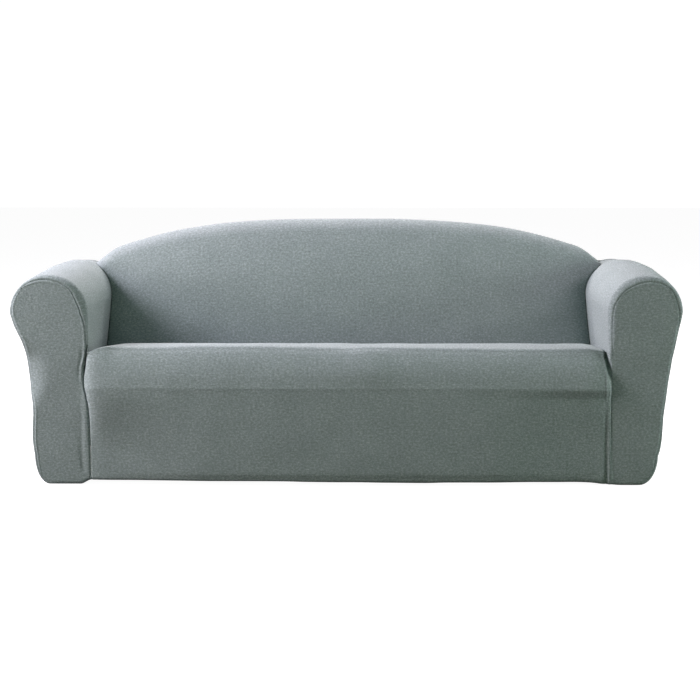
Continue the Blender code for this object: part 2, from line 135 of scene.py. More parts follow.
def nearPath(reach, height, path):
    # distance to a path and the part of its length where it is nearest
    best, part = np.full(reach.shape, 1e9), np.zeros(reach.shape)
    ends = partsOf(path)
    for index, (start, along) in enumerate(zip(path, np.diff(path, axis=0))):
        t = ((reach - start[0]) * along[0] + (height - start[1]) * along[1]) / (along @ along)
        t = np.clip(t, 0.0, 1.0)
        away = np.hypot(reach - start[0] - along[0] * t, height - start[1] - along[1] * t)
        nearer = away < best
        best = np.where(nearer, away, best)
        part = np.where(nearer, mix(ends[index], ends[index + 1], t), part)
    return best, part


def foldsAt(reach, height, folds):
    total = np.zeros(np.shape(reach))
    for fold in folds:
        away, part = nearPath(reach, height, softPath(fold["path"]))
        rise = np.interp(part, np.linspace(0, 1, len(fold["rise"])), fold["rise"])
        total = total + rise * np.cos(np.pi / 2 * np.clip(away / fold["half"], 0, 1)) ** 2
    return total


def softPath(path, steps=6):
    # the same path with its corners rounded
    path = np.asarray(path, float)
    if len(path) < 3:
        return path
    at = np.arange(len(path), dtype=float)
    fine = np.linspace(0, len(path) - 1, steps * (len(path) - 1) + 1)
    return np.stack([softCurve(at, path[:, axis])(fine) for axis in range(path.shape[1])], axis=1)


def wander(points, size, amount, seed):
    # slow, soft unevenness of the cloth, the same on each run
    shift = Vector((seed, -seed, 2 * seed))
    return amount * np.array([noise.noise(Vector(point) / size + shift) for point in points])


# The arched back

crestSize = {
    "height": 0.841,
    "curve": 0.1685,           # the arch falls by this times the cube of the reach
    "ends": (0.850, 0.075, 0.027),  # past this reach, over this width, it falls by this much more
    "endCurve": 1.3,
    "round": 0.050,            # radius from the inside back over to the top
    "ease": (0.006, 0.190),    # above this distance from the crest the back leans away more
    "fall": 0.014,             # the top slopes down to the rear seam
    "fallCurve": 1.5,
    "edge": 6,                 # the higher, the nearer to the arms the top bends down to them
    "notchAngle": math.radians(4.0),
    "steps": 12,               # rows of cloth round that radius
}


def crestHeight(reach):
    start, width, extra = crestSize["ends"]
    reach = np.abs(reach)
    past = np.maximum(reach - start, 0.0) / width
    return crestSize["height"] - crestSize["curve"] * reach**3 - extra * past ** crestSize["endCurve"]


def crestBelow(step):
    # how far below the crest one of the rows round it lies
    return crestSize["round"] * (1 - math.sin(math.pi / 2 * step / crestSize["steps"]))


def crestTurn(below):
    radius = crestSize["round"]
    rise = radius - np.clip(below, 0.0, radius)
    return radius - np.sqrt(radius**2 - rise**2)


def backDepthAt(height, below):
    amount, reachDown = crestSize["ease"]
    ease = amount * np.clip(1 - below / reachDown, 0.0, 1.0) ** 2
    lean = (height - coverSize["backFoot"]) * coverSize["backLean"]
    return coverSize["backDepth"] + lean + crestTurn(below) + ease


# The rolled arms

armSizes = {
    "left": {
        "side": -1, "rollReach": 0.975, "rollHeight": 0.568, "rollRadius": 0.127, "toe": 0.012,
        "drop": 0.016, "swell": 0.007, "deckFront": 0.845, "deckRear": 0.877, "footRound": 0.049,
        "flap": 0.022, "crown": 0.001, "bulge": 0.0015,
    },
    "right": {
        "side": 1, "rollReach": 0.981, "rollHeight": 0.573, "rollRadius": 0.120, "toe": 0.001,
        "drop": 0.009, "swell": 0.016, "deckFront": 0.868, "deckRear": 0.880, "footRound": 0.060,
        "flap": 0.022, "crown": 0.003, "bulge": 0.0045,
    },
}
swellAngle = math.radians(58.0)  # where on the roll the swell and the bulge are widest
bulgeAngle = math.radians(12.0)
dropDepths = (0.600, 0.840)      # towards the rear the roll drops between these depths


def rollPoint(arm, angle, depth):
    first, last = dropDepths
    swell = max(math.cos(angle - swellAngle), 0.0) ** 4
    bulge = arm["bulge"] * max(math.cos(angle - bulgeAngle), 0.0) ** 2
    swell = arm["swell"] * swell * np.sin(np.pi * np.clip(depth / last, 0.0, 1.0))
    radius = arm["rollRadius"] + bulge + swell
    reach = arm["rollReach"] + radius * math.cos(angle)
    reach = reach + arm["toe"] * depth / coverSize["backDepth"] * max(-math.cos(angle), 0.0)
    drop = arm["drop"] * blendStep((depth - first) / (last - first)) * max(math.sin(angle), 0.0)
    return reach, arm["rollHeight"] + radius * math.sin(angle) - drop


def deckSide(arm, depth):
    start = coverSize["deckStart"]
    part = np.clip((depth - start) / (coverSize["backDepth"] - start), 0.0, 1.0)
    reach = mix(arm["deckFront"], arm["deckRear"], part)
    return reach, mix(coverSize["deckCorner"], coverSize["backFoot"], part)


backLook = {
    "crown": 0.012,            # the back's cushions swell forward in the middle
    "sides": (0.018, 0.140),   # and by this much within this width of the arms
    "edge": (0.020, 0.030),    # beside the arms it turns back by this much more, over this width
    "start": 0.045,            # the swell starts this softly beside an arm
    "ends": (0.877, 0.880),    # reach of its left and right ends
    "fade": (0.35, 0.70),      # above this part of its height the swell loses this share
    "deckFrom": 0.32,          # behind this depth the deck follows the swell
    # its columns: a width, their spacing at its ends and in its middle, and the way between the two
    "columns": (1.80, 0.0020, 0.0092, 0.09),
}


def backSwell(x):
    rise, width = backLook["sides"]
    left, right = backLook["ends"]
    away = np.clip(np.minimum(x + left, right - x), 0.0, None)
    across = np.clip((x + left) / (left + right), 0.0, 1.0)
    return backLook["crown"] * np.sin(np.pi * across) + rise * (1 - np.exp(-away / width))


def backStand(x, away):
    # how far the inside back stands forward at a distance from its side edge
    rise, width = backLook["edge"]
    return backSwell(x) * (1 - np.exp(-away / backLook["start"])) + rise * (1 - np.exp(-away / width))


def meetBack(lineAt, below):
    depth = coverSize["backDepth"]
    for _ in range(10):
        reach, height = lineAt(depth)
        depth = backDepthAt(height, crestHeight(reach) - height if below is None else below)
    return float(depth)


def farEnd(line):
    # depth where a line meets the back, or ends at the rear
    return meetBack(line["at"], None) if line["far"] is None else line["far"]


def landingAngle(arm, below):
    # where on the roll a line at a distance below the crest lands
    inner, outer = math.radians(176.0), math.radians(90.0)
    for _ in range(34):
        angle = (inner + outer) / 2
        depth = meetBack(lambda at: rollPoint(arm, angle, at), below)
        reach, height = rollPoint(arm, angle, depth)
        if crestHeight(reach) - height > below:
            inner = angle
        else:
            outer = angle
    return angle


# Outside of each arm below the roll: reach of the cloth at a height
outerSide = {
    "height": [0.545, 0.525, 0.506, 0.480, 0.453, 0.420, 0.385, 0.350,
               0.320, 0.295, 0.268, 0.235, 0.190, 0.150, 0.110, 0.095],
    "left": [1.0970, 1.0905, 1.0820, 1.0700, 1.0613, 1.0557, 1.0520, 1.0485,
             1.0456, 1.0425, 1.0378, 1.0358, 1.0385, 1.0390, 1.0353, 1.0330],
    "right": [1.1005, 1.0955, 1.0915, 1.0865, 1.0815, 1.0745, 1.0695, 1.0640,
              1.0605, 1.0580, 1.0550, 1.0510, 1.0485, 1.0462, 1.0398, 1.0350],
}


wrapRows = {
    "inside": (0.0065, 0.040),  # spacing up the inside arm, and the way over which it gets there
    "insideBow": 0.75,
    "level": 6,                # the seam turns from level over this many rows
    "roll": 16,                # from the inside arm to the round of the crest
    "notch": 7,                # along the end of the crest
    "top": 46,                 # from there over the roll
    "outside": 55,
    "foot": 14,
    "flap": 4,
    "flat": 4,                 # columns in front of the rounded front edge
    "round": 11,               # and round it
    "depth": (0.83, 0.0030, 0.05),  # the rest: a length, spacing at its ends, the way to the coarse one
}


def sectionLines(name):
    # the arm's section as lines that run back from the front: each has its station, its place at a
    # depth, and how far back it goes
    arm = armSizes[name]
    lines = []

    def add(station, at, far=None, tag=""):
        lines.append({"station": station, "at": at, "far": far, "tag": tag})

    def inside(part):
        def at(depth):
            low, high = deckSide(arm, depth), rollPoint(arm, math.pi, depth)
            return mix(low[0], high[0], part ** wrapRows["insideBow"]), mix(low[1], high[1], part)
        return at

    def onRoll(angle, far=None, tag=""):
        add(math.degrees(angle), lambda depth: rollPoint(arm, angle, depth), far, tag)

    def fixed(station, reach, height, tag=""):
        low = height + hemSize["arm"] * (1 - float(blendStep(height / hemSize["armFade"])))
        add(station, lambda depth: (reach + 0.0 * depth, low + 0.0 * depth), rearSeam, tag)

    rise = arm["rollHeight"] - coverSize["deckCorner"]
    for part in gradedParts(rise, meshSize["fine"], *wrapRows["inside"], False)[:-1]:
        add(180 + (1 - part) * rise * 1000, inside(part))
    low = landingAngle(arm, crestSize["round"])
    for step in range(wrapRows["roll"]):
        onRoll(mix(math.pi, low, step / wrapRows["roll"]))
    steps = crestSize["steps"]
    for step in range(steps + 1):
        landing = landingAngle(arm, crestBelow(step))
        onRoll(landing, None, "landing" if step == steps else "")
    crestDepth = meetBack(lines[-1]["at"], None)
    steps = wrapRows["notch"]
    for step in range(1, steps + 1):
        notch = landing - crestSize["notchAngle"] * step / steps
        onRoll(notch, mix(crestDepth, rearSeam, step / steps), "notch" if step == steps else "")
    for step in range(1, wrapRows["top"] + 1):
        onRoll(notch * (1 - step / wrapRows["top"]), rearSeam)
    top, footHeight = float(rollPoint(arm, 0.0, 0.0)[0]), coverSize["footHeight"]
    side = softCurve([arm["rollHeight"]] + outerSide["height"], [top] + outerSide[name])
    for height in np.linspace(arm["rollHeight"], footHeight, wrapRows["outside"] + 1)[1:]:
        fixed(-(arm["rollHeight"] - height) * 1000, float(side(height)), float(height))
    below = (arm["rollHeight"] - footHeight) * 1000
    foot, steps = outerSide[name][-1] - arm["footRound"], wrapRows["foot"]
    for step in range(1, steps + 1):
        angle = math.pi / 2 * step / steps
        reach, height = foot + arm["footRound"] * math.cos(angle), footHeight * (1 - math.sin(angle))
        fixed(-below - 90 * step / steps, reach, height, {steps // 2: "mid", steps: "end"}.get(step, ""))
    for step in range(1, wrapRows["flap"] + 1):
        fixed(-below - 95, foot - arm["flap"] * step / wrapRows["flap"], 0.0)
    return lines


def tagsOf(lines):
    return {line["tag"]: index for index, line in enumerate(lines) if line["tag"]}


def inwardNormals(points):
    # into the arm, along its section. The deck's seam runs level into the front
    points = np.asarray(points)
    along = np.empty_like(points)
    along[1:-1] = points[2:] - points[:-2]
    along[0], along[-1] = points[1] - points[0], points[-1] - points[-2]
    along /= np.linalg.norm(along, axis=1)[:, None]
    normals = np.stack([along[:, 1], -along[:, 0]], axis=1)
    turn = blendStep(np.arange(len(points)) / wrapRows["level"])[:, None]
    normals = mix(np.array([[1.0, 0.0]]), normals, turn)
    return normals / np.linalg.norm(normals, axis=1)[:, None]


# How far the front seam lies inside the arm's outline, and how softly the front edge is rounded.
# A station is an angle on the roll in degrees, 0 at its outer side and 180 at its inner side.
# Below the roll it goes on in millimetres: over 180 down the inside, under 0 down the outside.
frontEdge = {
    "left": {
        "station": [-560, -470, -200, -60, 0, 20, 30, 40, 51, 60, 69, 80, 94,
                    103, 112, 122, 135, 147, 159, 174, 195, 218, 235, 270, 320],
        "inset": [11, 9, 7, 6, 6, 6, 6.5, 7, 8, 10.3, 12.3, 14.8, 17.7,
                  19.8, 20.3, 20.2, 23, 27.7, 28, 24.3, 17, 11, 8, 8, 9],
        "round": [12, 12, 12, 12, 12, 12, 12, 12, 13, 14, 15, 17, 19,
                  21, 22, 23, 24, 25, 25, 22, 17, 12, 9, 7, 6],
    },
    "right": {
        "station": [-560, -470, -200, -57, -20, 0, 15, 24, 33, 43, 54, 64, 73,
                    82, 92, 102, 112, 123, 135, 150, 161, 171, 200, 235, 270, 320],
        "inset": [13, 10, 6, 6, 10, 13, 15.5, 14.5, 13.1, 12.6, 13.5, 14.5, 17.6,
                  19.6, 21.6, 23.1, 25.1, 25, 23.8, 23, 20.6, 18.3, 14, 12, 11, 12],
        "round": [14, 13, 12, 12, 12, 12, 12, 12, 12, 12, 13, 14, 16,
                  19, 22, 25, 27, 28, 28, 28, 28, 28, 27, 25, 20, 9],
    },
}


def edgeTable(name, column, stations):
    return readColumn(frontEdge[name], column, stations, "station") / 1000


def roundDepth(inset, radius):
    # how far back the rounded front edge lies at a distance inside the outline
    left = np.clip(radius - inset, 0.0, radius)
    return radius - np.sqrt(np.maximum(radius**2 - left**2, 0.0))


def frontSection(name, lines):
    points = np.array([line["at"](0.0) for line in lines])
    stations = np.array([line["station"] for line in lines])
    insets, rounds = (edgeTable(name, column, stations) for column in ("inset", "round"))
    return points, inwardNormals(points), insets, rounds


# The crevice between the cushion and each arm: where the cushion's corner ends and where the arm's
# front begins, with its depth
crevice = {
    "height": [0.470, 0.455, 0.441, 0.428, 0.414, 0.400, 0.387, 0.375, 0.364, 0.345, 0.325, 0.300],
    "leftCushion": [0.8430, 0.8475, 0.8500, 0.8512, 0.8525, 0.8538,
                    0.8553, 0.8570, 0.8590, 0.8612, 0.8610, 0.8568],
    "leftArm": [0.8560, 0.8570, 0.8580, 0.8600, 0.8635, 0.8660,
                0.8670, 0.8675, 0.8680, 0.8680, 0.8670, 0.8630],
    "leftDeep": [0.0, 0.012, 0.019, 0.021, 0.021, 0.021, 0.020, 0.018, 0.014, 0.009, 0.004, 0.0],
    "rightCushion": [0.8440, 0.8475, 0.8505, 0.8518, 0.8530, 0.8545,
                     0.8570, 0.8595, 0.8615, 0.8642, 0.8665, 0.8680],
    "rightArm": [0.8610, 0.8625, 0.8650, 0.8690, 0.8730, 0.8760,
                 0.8775, 0.8780, 0.8780, 0.8775, 0.8765, 0.8760],
    "rightDeep": [0.0, 0.006, 0.016, 0.025, 0.030, 0.030, 0.026, 0.018, 0.009, 0.003, 0.0, 0.0],
    "wall": 0.0050,            # width of its wall under the cushion
    "slope": 0.85,             # the other side slopes up over this part of its width
}


def creviceAt(name, reach, height):
    # depth of the crevice between cushion and arm at a place on the front
    cushion, arm, deep = (readColumn(crevice, name + key, height) for key in ("Cushion", "Arm", "Deep"))
    wall = np.minimum(crevice["wall"], (arm - cushion) / 2)
    slope = np.maximum(wall, crevice["slope"] * (arm - cushion))
    return deep * blendStep((reach - cushion) / wall) * blendStep((arm - reach) / slope)


# Soft folds of the front plane: a path of (reach, height), the half width, and how far it rises
# (or sinks, if below zero) along the path
frontFolds = {
    "left": [
        {"path": [(0.864, 0.350), (0.868, 0.281), (0.873, 0.214), (0.876, 0.146), (0.874, 0.079),
                  (0.868, 0.045)],
         "half": 0.013, "rise": [0.0, 0.0, -0.0002, -0.0008, -0.0020, -0.0018]},
        {"path": [(0.863, 0.330), (0.862, 0.300), (0.861, 0.270), (0.860, 0.235), (0.859, 0.200),
                  (0.857, 0.040)],
         "half": 0.016, "rise": [0.0, 0.0022, 0.0038, 0.0032, 0.0020, 0.0012]},
        {"path": [(0.8575, 0.510), (0.860, 0.4565), (0.8625, 0.4235), (0.870, 0.394), (0.873, 0.358),
                  (0.871, 0.325)],
         "half": 0.0055, "rise": [0.0, 0.0007, 0.0011, 0.0013, 0.0011, 0.0]},
        {"path": [(0.866, 0.460), (0.870, 0.4235), (0.877, 0.394), (0.880, 0.358), (0.879, 0.330)],
         "half": 0.008, "rise": [0.0, -0.0020, -0.0020, -0.0014, 0.0]},
    ],
    "right": [
        {"path": [(0.846, 0.440), (0.850, 0.420), (0.853, 0.400), (0.856, 0.384), (0.857, 0.330),
                  (0.859, 0.270)],
         "half": 0.006, "rise": [0.0008, 0.0020, 0.0026, 0.0030, 0.0030, 0.0]},
        {"path": [(0.856, 0.280), (0.858, 0.217), (0.861, 0.120), (0.864, 0.016)],
         "half": 0.010, "rise": [0.0, -0.0022, -0.0030, -0.0035]},
        {"path": [(0.868, 0.280), (0.869, 0.217), (0.873, 0.120), (0.877, 0.016)],
         "half": 0.009, "rise": [0.0, 0.0022, 0.0022, 0.0030]},
    ],
}


# Outer cheek of the left arm's front, where the cloth slopes back below the roll: how far and
# over what width
outerCheek = {
    "height": [0.490, 0.455, 0.425, 0.390, 0.345, 0.310, 0.280, 0.245],
    "left": [0.0, 0.0060, 0.0170, 0.0225, 0.0250, 0.0180, 0.0080, 0.0],
    "width": [0.060, 0.075, 0.082, 0.080, 0.070, 0.058, 0.040, 0.030],
}


def frontRelief(name, reach, height, depth):
    # how far the cloth near the front plane lies behind it
    relief = creviceAt(name, reach, height)
    if name in outerCheek:
        outline = readColumn(outerSide, name, height)
        cheek, width = (readColumn(outerCheek, key, height) for key in (name, "width"))
        relief = relief + cheek * np.clip(1 - (outline - reach) / width, 0.0, 1.0) ** 2
    relief = relief - foldsAt(reach, height, frontFolds[name])
    return relief * (1 - blendStep(depth / coverSize["reliefDepth"]))


def place(side, reach, depth, height):
    return np.stack([side * reach, coverSize["frontY"] + depth, height], axis=-1)


def armWrapGrid(name):
    arm, lines = armSizes[name], sectionLines(name)
    points, normals, insets, rounds = frontSection(name, lines)
    length, spacing, spread = wrapRows["depth"]
    parts = gradedParts(length, spacing, meshSize["coarse"], spread)
    rows = []
    for index, line in enumerate(lines):
        inset, radius = insets[index], rounds[index]
        if inset > radius:
            ends, count = math.pi / 2, wrapRows["round"]
            shifts = list(np.linspace(inset, radius, wrapRows["flat"] + 1)[:-1])
        else:
            ends, count = math.acos(1 - inset / radius), wrapRows["round"] + wrapRows["flat"]
            shifts = []
        shifts = np.array(shifts + [radius * (1 - math.cos(angle)) for angle in np.linspace(ends, 0, count)])
        straight = mix(radius, farEnd(line), parts[1:])
        backReach, backHeight = line["at"](straight)
        reach = np.concatenate([points[index, 0] + normals[index, 0] * shifts, backReach])
        height = np.concatenate([points[index, 1] + normals[index, 1] * shifts, backHeight])
        depth = np.concatenate([roundDepth(shifts, radius), straight])
        rows.append(place(arm["side"], reach, depth + frontRelief(name, reach, height, depth), height))
    return np.array(rows)


def transfinite(left, right, bottom, top):
    # a grid inside four edges: left and right run upwards, bottom and top from left to right
    low, high = partsOf(bottom)[None, :, None], partsOf(top)[None, :, None]
    rise = ((partsOf(left) + partsOf(right)) / 2)[:, None, None]
    points = mix(left[:, None], right[:, None], mix(low, high, rise))
    onBottom, onTop = mix(bottom[0], bottom[-1], low[0]), mix(top[0], top[-1], high[0])
    return points + (1 - rise) * (bottom - onBottom)[None] + rise * (top - onTop)[None]


# Reach of the seam between the skirt and each arm front, from the deck's corner to the hem
skirtSeam = {
    "height": [0.437, 0.415, 0.385, 0.350, 0.321, 0.300, 0.250, 0.170, 0.090, 0.024],
    "left": [0.8540, 0.8570, 0.8600, 0.8630, 0.8620, 0.8575, 0.8495, 0.8460, 0.8450, 0.8450],
    "right": [0.8800, 0.8700, 0.8715, 0.8755, 0.8765, 0.8755, 0.8755, 0.8765, 0.8770, 0.8770],
}


frontLook = {
    "crown": (0.035, 0.030, 0.060),  # it grows over this much from the seam, the skirt and the hem
    "corners": (138, 44),      # stations of the panel's upper corners
    "skirtFrom": 0.030,        # height where its seam with the skirt starts
    "skirtPoints": 60,
    "rows": (0.004, 0.0085, 0.12),  # spacing at the ends and in the middle, and the way between the two
    "top": (0.008, 0.014, 0.2),
    "hem": (0.0045, 0.03),
    "footColumns": 16,
}


def armFrontGrids(name):
    # front panel of an arm: its face, rows upwards, and the turned hem as short rows of its own
    arm, lines, corner = armSizes[name], sectionLines(name), coverSize["deckCorner"]
    points, normals, insets, rounds = frontSection(name, lines)
    seam, tags = points + normals * insets[:, None], tagsOf(lines)
    stations = np.array([line["station"] for line in lines])
    upperInner, upperOuter = (int(np.argmin(abs(stations - at))) for at in frontLook["corners"])
    heights = np.linspace(frontLook["skirtFrom"], corner, frontLook["skirtPoints"])[:-1]
    skirt = readColumn(skirtSeam, name, heights)
    hem = hemAt(name, skirt[0]) + hemSize["round"]
    skirt = np.concatenate([[[skirt[0], hem]], np.stack([skirt, heights], axis=1)])
    rowParts = gradedParts(1.0, *frontLook["rows"])
    inner = resample(np.concatenate([skirt, seam[: upperInner + 1]]), rowParts)
    outer = resample(seam[upperOuter : tags["mid"] + 1][::-1], rowParts)
    start, end = inner[0, 0], seam[tags["end"], 0]
    hemReach = mix(start, end, gradedParts(end - start, meshSize["fine"], *frontLook["hem"], False))
    hemLine = np.stack([hemReach, hemAt(name, hemReach) + hemSize["round"]], axis=1)
    foot = seam[tags["mid"] : tags["end"] + 1][::-1]
    foot = resample(foot, np.linspace(0, 1, frontLook["footColumns"]))[1:]
    bottom = np.concatenate([hemLine, foot])
    top = resample(seam[upperInner : upperOuter + 1], gradedParts(1.0, *frontLook["top"]))
    flat = transfinite(inner, outer, bottom, resample(top, partsOf(bottom)))
    reach, height = flat[..., 0], flat[..., 1]

    outline = points[: tags["end"] + 1]
    away, part = nearPath(reach, height, outline)
    index = np.arange(len(outline))
    at = np.interp(part, partsOf(outline), index)
    inset, radius = (np.interp(at, index, values[: len(outline)]) for values in (insets, rounds))
    depth = roundDepth(away, radius)
    fromSkirt = np.maximum(reach - readColumn(skirtSeam, name, height), 0.0)
    fromSkirt = fromSkirt + np.maximum(height - corner, 0.0)
    fromHem = np.maximum(height - hemAt(name, reach) - hemSize["round"], 0.0)
    crown = arm["crown"]
    for distance, width in zip((np.maximum(away - inset, 0.0), fromSkirt, fromHem), frontLook["crown"]):
        crown = crown * (1 - np.exp(-distance / width))
    face = place(arm["side"], reach, depth + frontRelief(name, reach, height, depth) - crown, height)
    edge = face[0, : len(hemReach)]
    return face, np.array([edge] + hemRows(edge, hemAt(name, reach[0, : len(hemReach)])))[::-1]


hemSize = {
    "round": 0.012,            # it rounds under over this much
    "roundRows": 8,
    "turn": 0.025,             # and is turned in by this much
    "turnRows": (0.3, 0.65, 1.0),
    "arm": -0.003,             # the arms' hem hangs this low
    "armFade": 0.10,           # which fades out up to this height
    "step": 0.036,             # from its seam with the skirt, over this width, the hem drops to the arm's
    # height of the skirt's hem along x, as uneven as the cloth hangs
    "x": [-0.845, -0.70, -0.45, -0.20, -0.12, 0.06, 0.14, 0.26,
          0.34, 0.50, 0.70, 0.79, 0.825, 0.845, 0.877],
    "height": [0.0112, 0.0118, 0.0122, 0.0118, 0.0098, 0.0090, 0.0076, 0.0074,
               0.0092, 0.0092, 0.0076, 0.0062, 0.0038, 0.0012, -0.0010],
}


def skirtHem(x):
    return readColumn(hemSize, "height", x, "x")


def hemAt(name, reach):
    seam = skirtSeam[name][-1]
    part = blendStep((reach - seam) / hemSize["step"])
    return mix(skirtHem(armSizes[name]["side"] * seam), hemSize["arm"], part)


def hemRows(edge, hem):
    # rows that turn the cloth under at the hem's height, and in
    rows = []
    for angle in np.linspace(0, math.pi / 2, hemSize["roundRows"] + 1)[1:]:
        row = edge.copy()
        row[:, 1] += hemSize["round"] * (1 - math.cos(angle))
        row[:, 2] = hem + (edge[:, 2] - hem) * (1 - math.sin(angle))
        rows.append(row)
    for turn in hemSize["turnRows"]:
        row = edge.copy()
        row[:, 1] += hemSize["round"] + hemSize["turn"] * turn
        row[:, 2] = hem
        rows.append(row)
    return rows


# Seat, cushion front and skirt in one cloth

# Middle line of the seat, from the inside back over the front edge and down the skirt
seatProfile = {
    "depth": [0.585, 0.490, 0.390, 0.290, 0.190, 0.116, 0.073, 0.050, 0.0380, 0.0285, 0.0214, 0.0170, 0.0138,
              0.0018, -0.0112, -0.0206, -0.0277, -0.0330, -0.0356, -0.0371, -0.0381, -0.03835, -0.0384,
              -0.0383, -0.0380, -0.0375, -0.0366, -0.0354, -0.0341, -0.0327, -0.0313, -0.0297, -0.0259],
    "height": [0.388, 0.4035, 0.418, 0.432, 0.446, 0.456, 0.4597, 0.4607, 0.4606, 0.4598, 0.4580,
               0.4555, 0.4525, 0.4400, 0.4200, 0.4000, 0.3800, 0.3600, 0.3450, 0.3350, 0.3285, 0.3265, 0.3245,
               0.3225, 0.3190, 0.3120, 0.2700, 0.2200, 0.1700, 0.1200, 0.0700, 0.0370, 0.0230],
    "fold": (0.350, 0.300),    # the cushion's lower edge lies between these heights
    "edge": 8,                 # the rounded front edge starts at this row
    "front": 13,               # and the front face at this one
}


seatSides = {
    "fall": {"left": 0.078, "right": 0.085},  # the deck rounds down to the inside arm over this width
    "tuck": 0.024,             # and its rows bend to those of its side over this one
    "cornerGap": 0.0010,       # its front corner lies this much below the deck's
    # spacing of the rows at their ends and in the middle, and the way between the two
    "deckRows": (0.551, 0.0025, 0.0160, 0.10),
    "edgeRows": 18,
    "cushionRows": (0.0028, 0.0055, 0.03),
    "foldRows": 20,
    "skirtRows": (0.0028, 0.0062, 0.04),
    "sideWidth": 0.16,         # columns are fine beside the seams, over this width
    "sideSpread": 0.09,
    "middleColumns": 150,
}


# How the cushion's front turns back towards its sides, by the distance from its corner
cushionSide = {
    "distance": [0.0, 0.0033, 0.0066, 0.010, 0.0165, 0.023, 0.030, 0.040, 0.056, 0.080],
    "left": [0.0230, 0.0182, 0.0151, 0.0127, 0.0092, 0.0066, 0.0046, 0.0028, 0.0012, 0.0],
    "right": [0.0150, 0.0138, 0.0126, 0.0115, 0.0094, 0.0074, 0.0055, 0.0034, 0.0013, 0.0],
    "height": [0.460, 0.435, 0.410, 0.375, 0.345, 0.320, 0.290],
    "leftShare": [0.40, 0.60, 0.85, 1.0, 1.15, 1.0, 0.8],
    "rightShare": [0.1, 0.25, 0.5, 0.75, 0.8, 0.75, 0.75],
    "seamRoom": 0.006,         # the corner ends at least this far inside the seam
    # On the skirt this part of the turn is close to the seam, and the rest spreads over the low width
    "lowTurn": {"left": 0.14, "right": 0.25},
    "lowEdge": 0.020,
    "lowWidth": 0.42,
    "lowTop": (0.090, 0.230),  # height where skirt turns into cushion, and over how much
    # Towards its end the front stands less far forward by this much, over this width
    "stand": {"left": 0.0, "right": 0.021},
    "standWidth": 0.45,
    "standFrom": (0.038, 0.050),  # only where it is further forward than this, over this much
    "standTop": (0.287, 0.034, 0.60),  # above this height, over this much, it loses this share
}


def cushionDepth(name, reach, height, middle, seam, sideDepth):
    # depth of the seat's front at a reach, from the middle line's depth to the seam's
    edge = np.minimum(readColumn(crevice, name + "Cushion", height), seam - cushionSide["seamRoom"])
    share = readColumn(cushionSide, name + "Share", height)
    start, width = cushionSide["standFrom"]
    near = blendStep(1 - (seam - reach) / cushionSide["standWidth"]) * blendStep((start - middle) / width)
    start, width, lost = cushionSide["standTop"]
    middle = middle + cushionSide["stand"][name] * near * (1 - lost * blendStep((height - start) / width))
    turn = readColumn(cushionSide, name, np.maximum(edge - reach, 0.0), "distance")
    past = blendStep((reach - edge) / (seam - edge))
    cushion = mix(middle + turn * share, sideDepth, np.where(reach > edge, past, 0.0))
    share, inward = cushionSide["lowTurn"][name], np.maximum(seam - reach, 0.0)
    bow = share * (1 - np.exp(-inward / cushionSide["lowEdge"]))
    bow = bow + (1 - share) * blendStep(inward / cushionSide["lowWidth"])
    start, width = cushionSide["lowTop"]
    return mix(mix(sideDepth, middle, bow), cushion, blendStep((height - start) / width))


# Near its left end the cushion's top edge comes forward
cornerPull = {
    "share": 0.66,             # by this share of its depth
    "depth": 0.0375,           # up to this depth
    "width": 0.110,            # over this width from the end
    "back": 0.15,              # and the change dies away over this much behind that depth
    "fall": (0.065, 0.030, 0.080),  # its side rounds down over more width, from a depth, over this much
    "more": 0.015,             # the edge also stands this much further forward
    "from": 0.0385,            # which starts this far in front of the front plane
}


def pulledForward(name, deep, distance):
    if name != "left":
        return 0.0
    near = 1 - blendStep(distance / cornerPull["width"])
    most = cornerPull["depth"]
    pull = cornerPull["share"] * np.clip(deep, 0.0, most)
    pull = pull + cornerPull["more"] * blendStep(deep / cornerPull["from"] + 1)
    return near * pull * (1 - blendStep((deep - most) / cornerPull["back"]))


# The front edge of the seat isn't quite level, and the two cushions under it show as one soft ridge
cushionEdge = {
    "x": [-0.84, -0.757, -0.620, -0.490, -0.360, -0.160, -0.030,
          0.000, 0.060, 0.165, 0.300, 0.490, 0.720, 0.84],
    "drop": [-0.004, 0.0030, 0.0045, 0.0, 0.0, 0.0025, 0.0065,
             0.0065, 0.003, 0.0045, 0.006, 0.0080, 0.0085, 0.006],
    "ridgeX": [-0.14, -0.08, -0.03, 0.01, 0.045, 0.075, 0.10, 0.13, 0.17, 0.24],
    "ridge": [0.0, 0.0008, 0.0026, 0.0054, 0.0078, 0.0088, 0.0082, 0.0060, 0.0028, 0.0],
    "ridgeFrom": (0.315, 0.075),  # the ridge starts at this height, over this much
    "ridgeTo": (0.452, 0.006),    # and ends at this one
    "dropDepth": (0.110, 0.085),  # the drop counts in front of this depth, over this much
    "dropHeight": (0.370, 0.075),  # and above this height
}


def ridgeShare(height):
    (low, rise), (high, fall) = cushionEdge["ridgeFrom"], cushionEdge["ridgeTo"]
    return float(blendStep((height - low) / rise) * (1 - blendStep((height - high) / fall)))


def dropShare(height, depth):
    (far, width), (low, rise) = cushionEdge["dropDepth"], cushionEdge["dropHeight"]
    return float(blendStep((far - depth) / width) * blendStep((height - low) / rise))


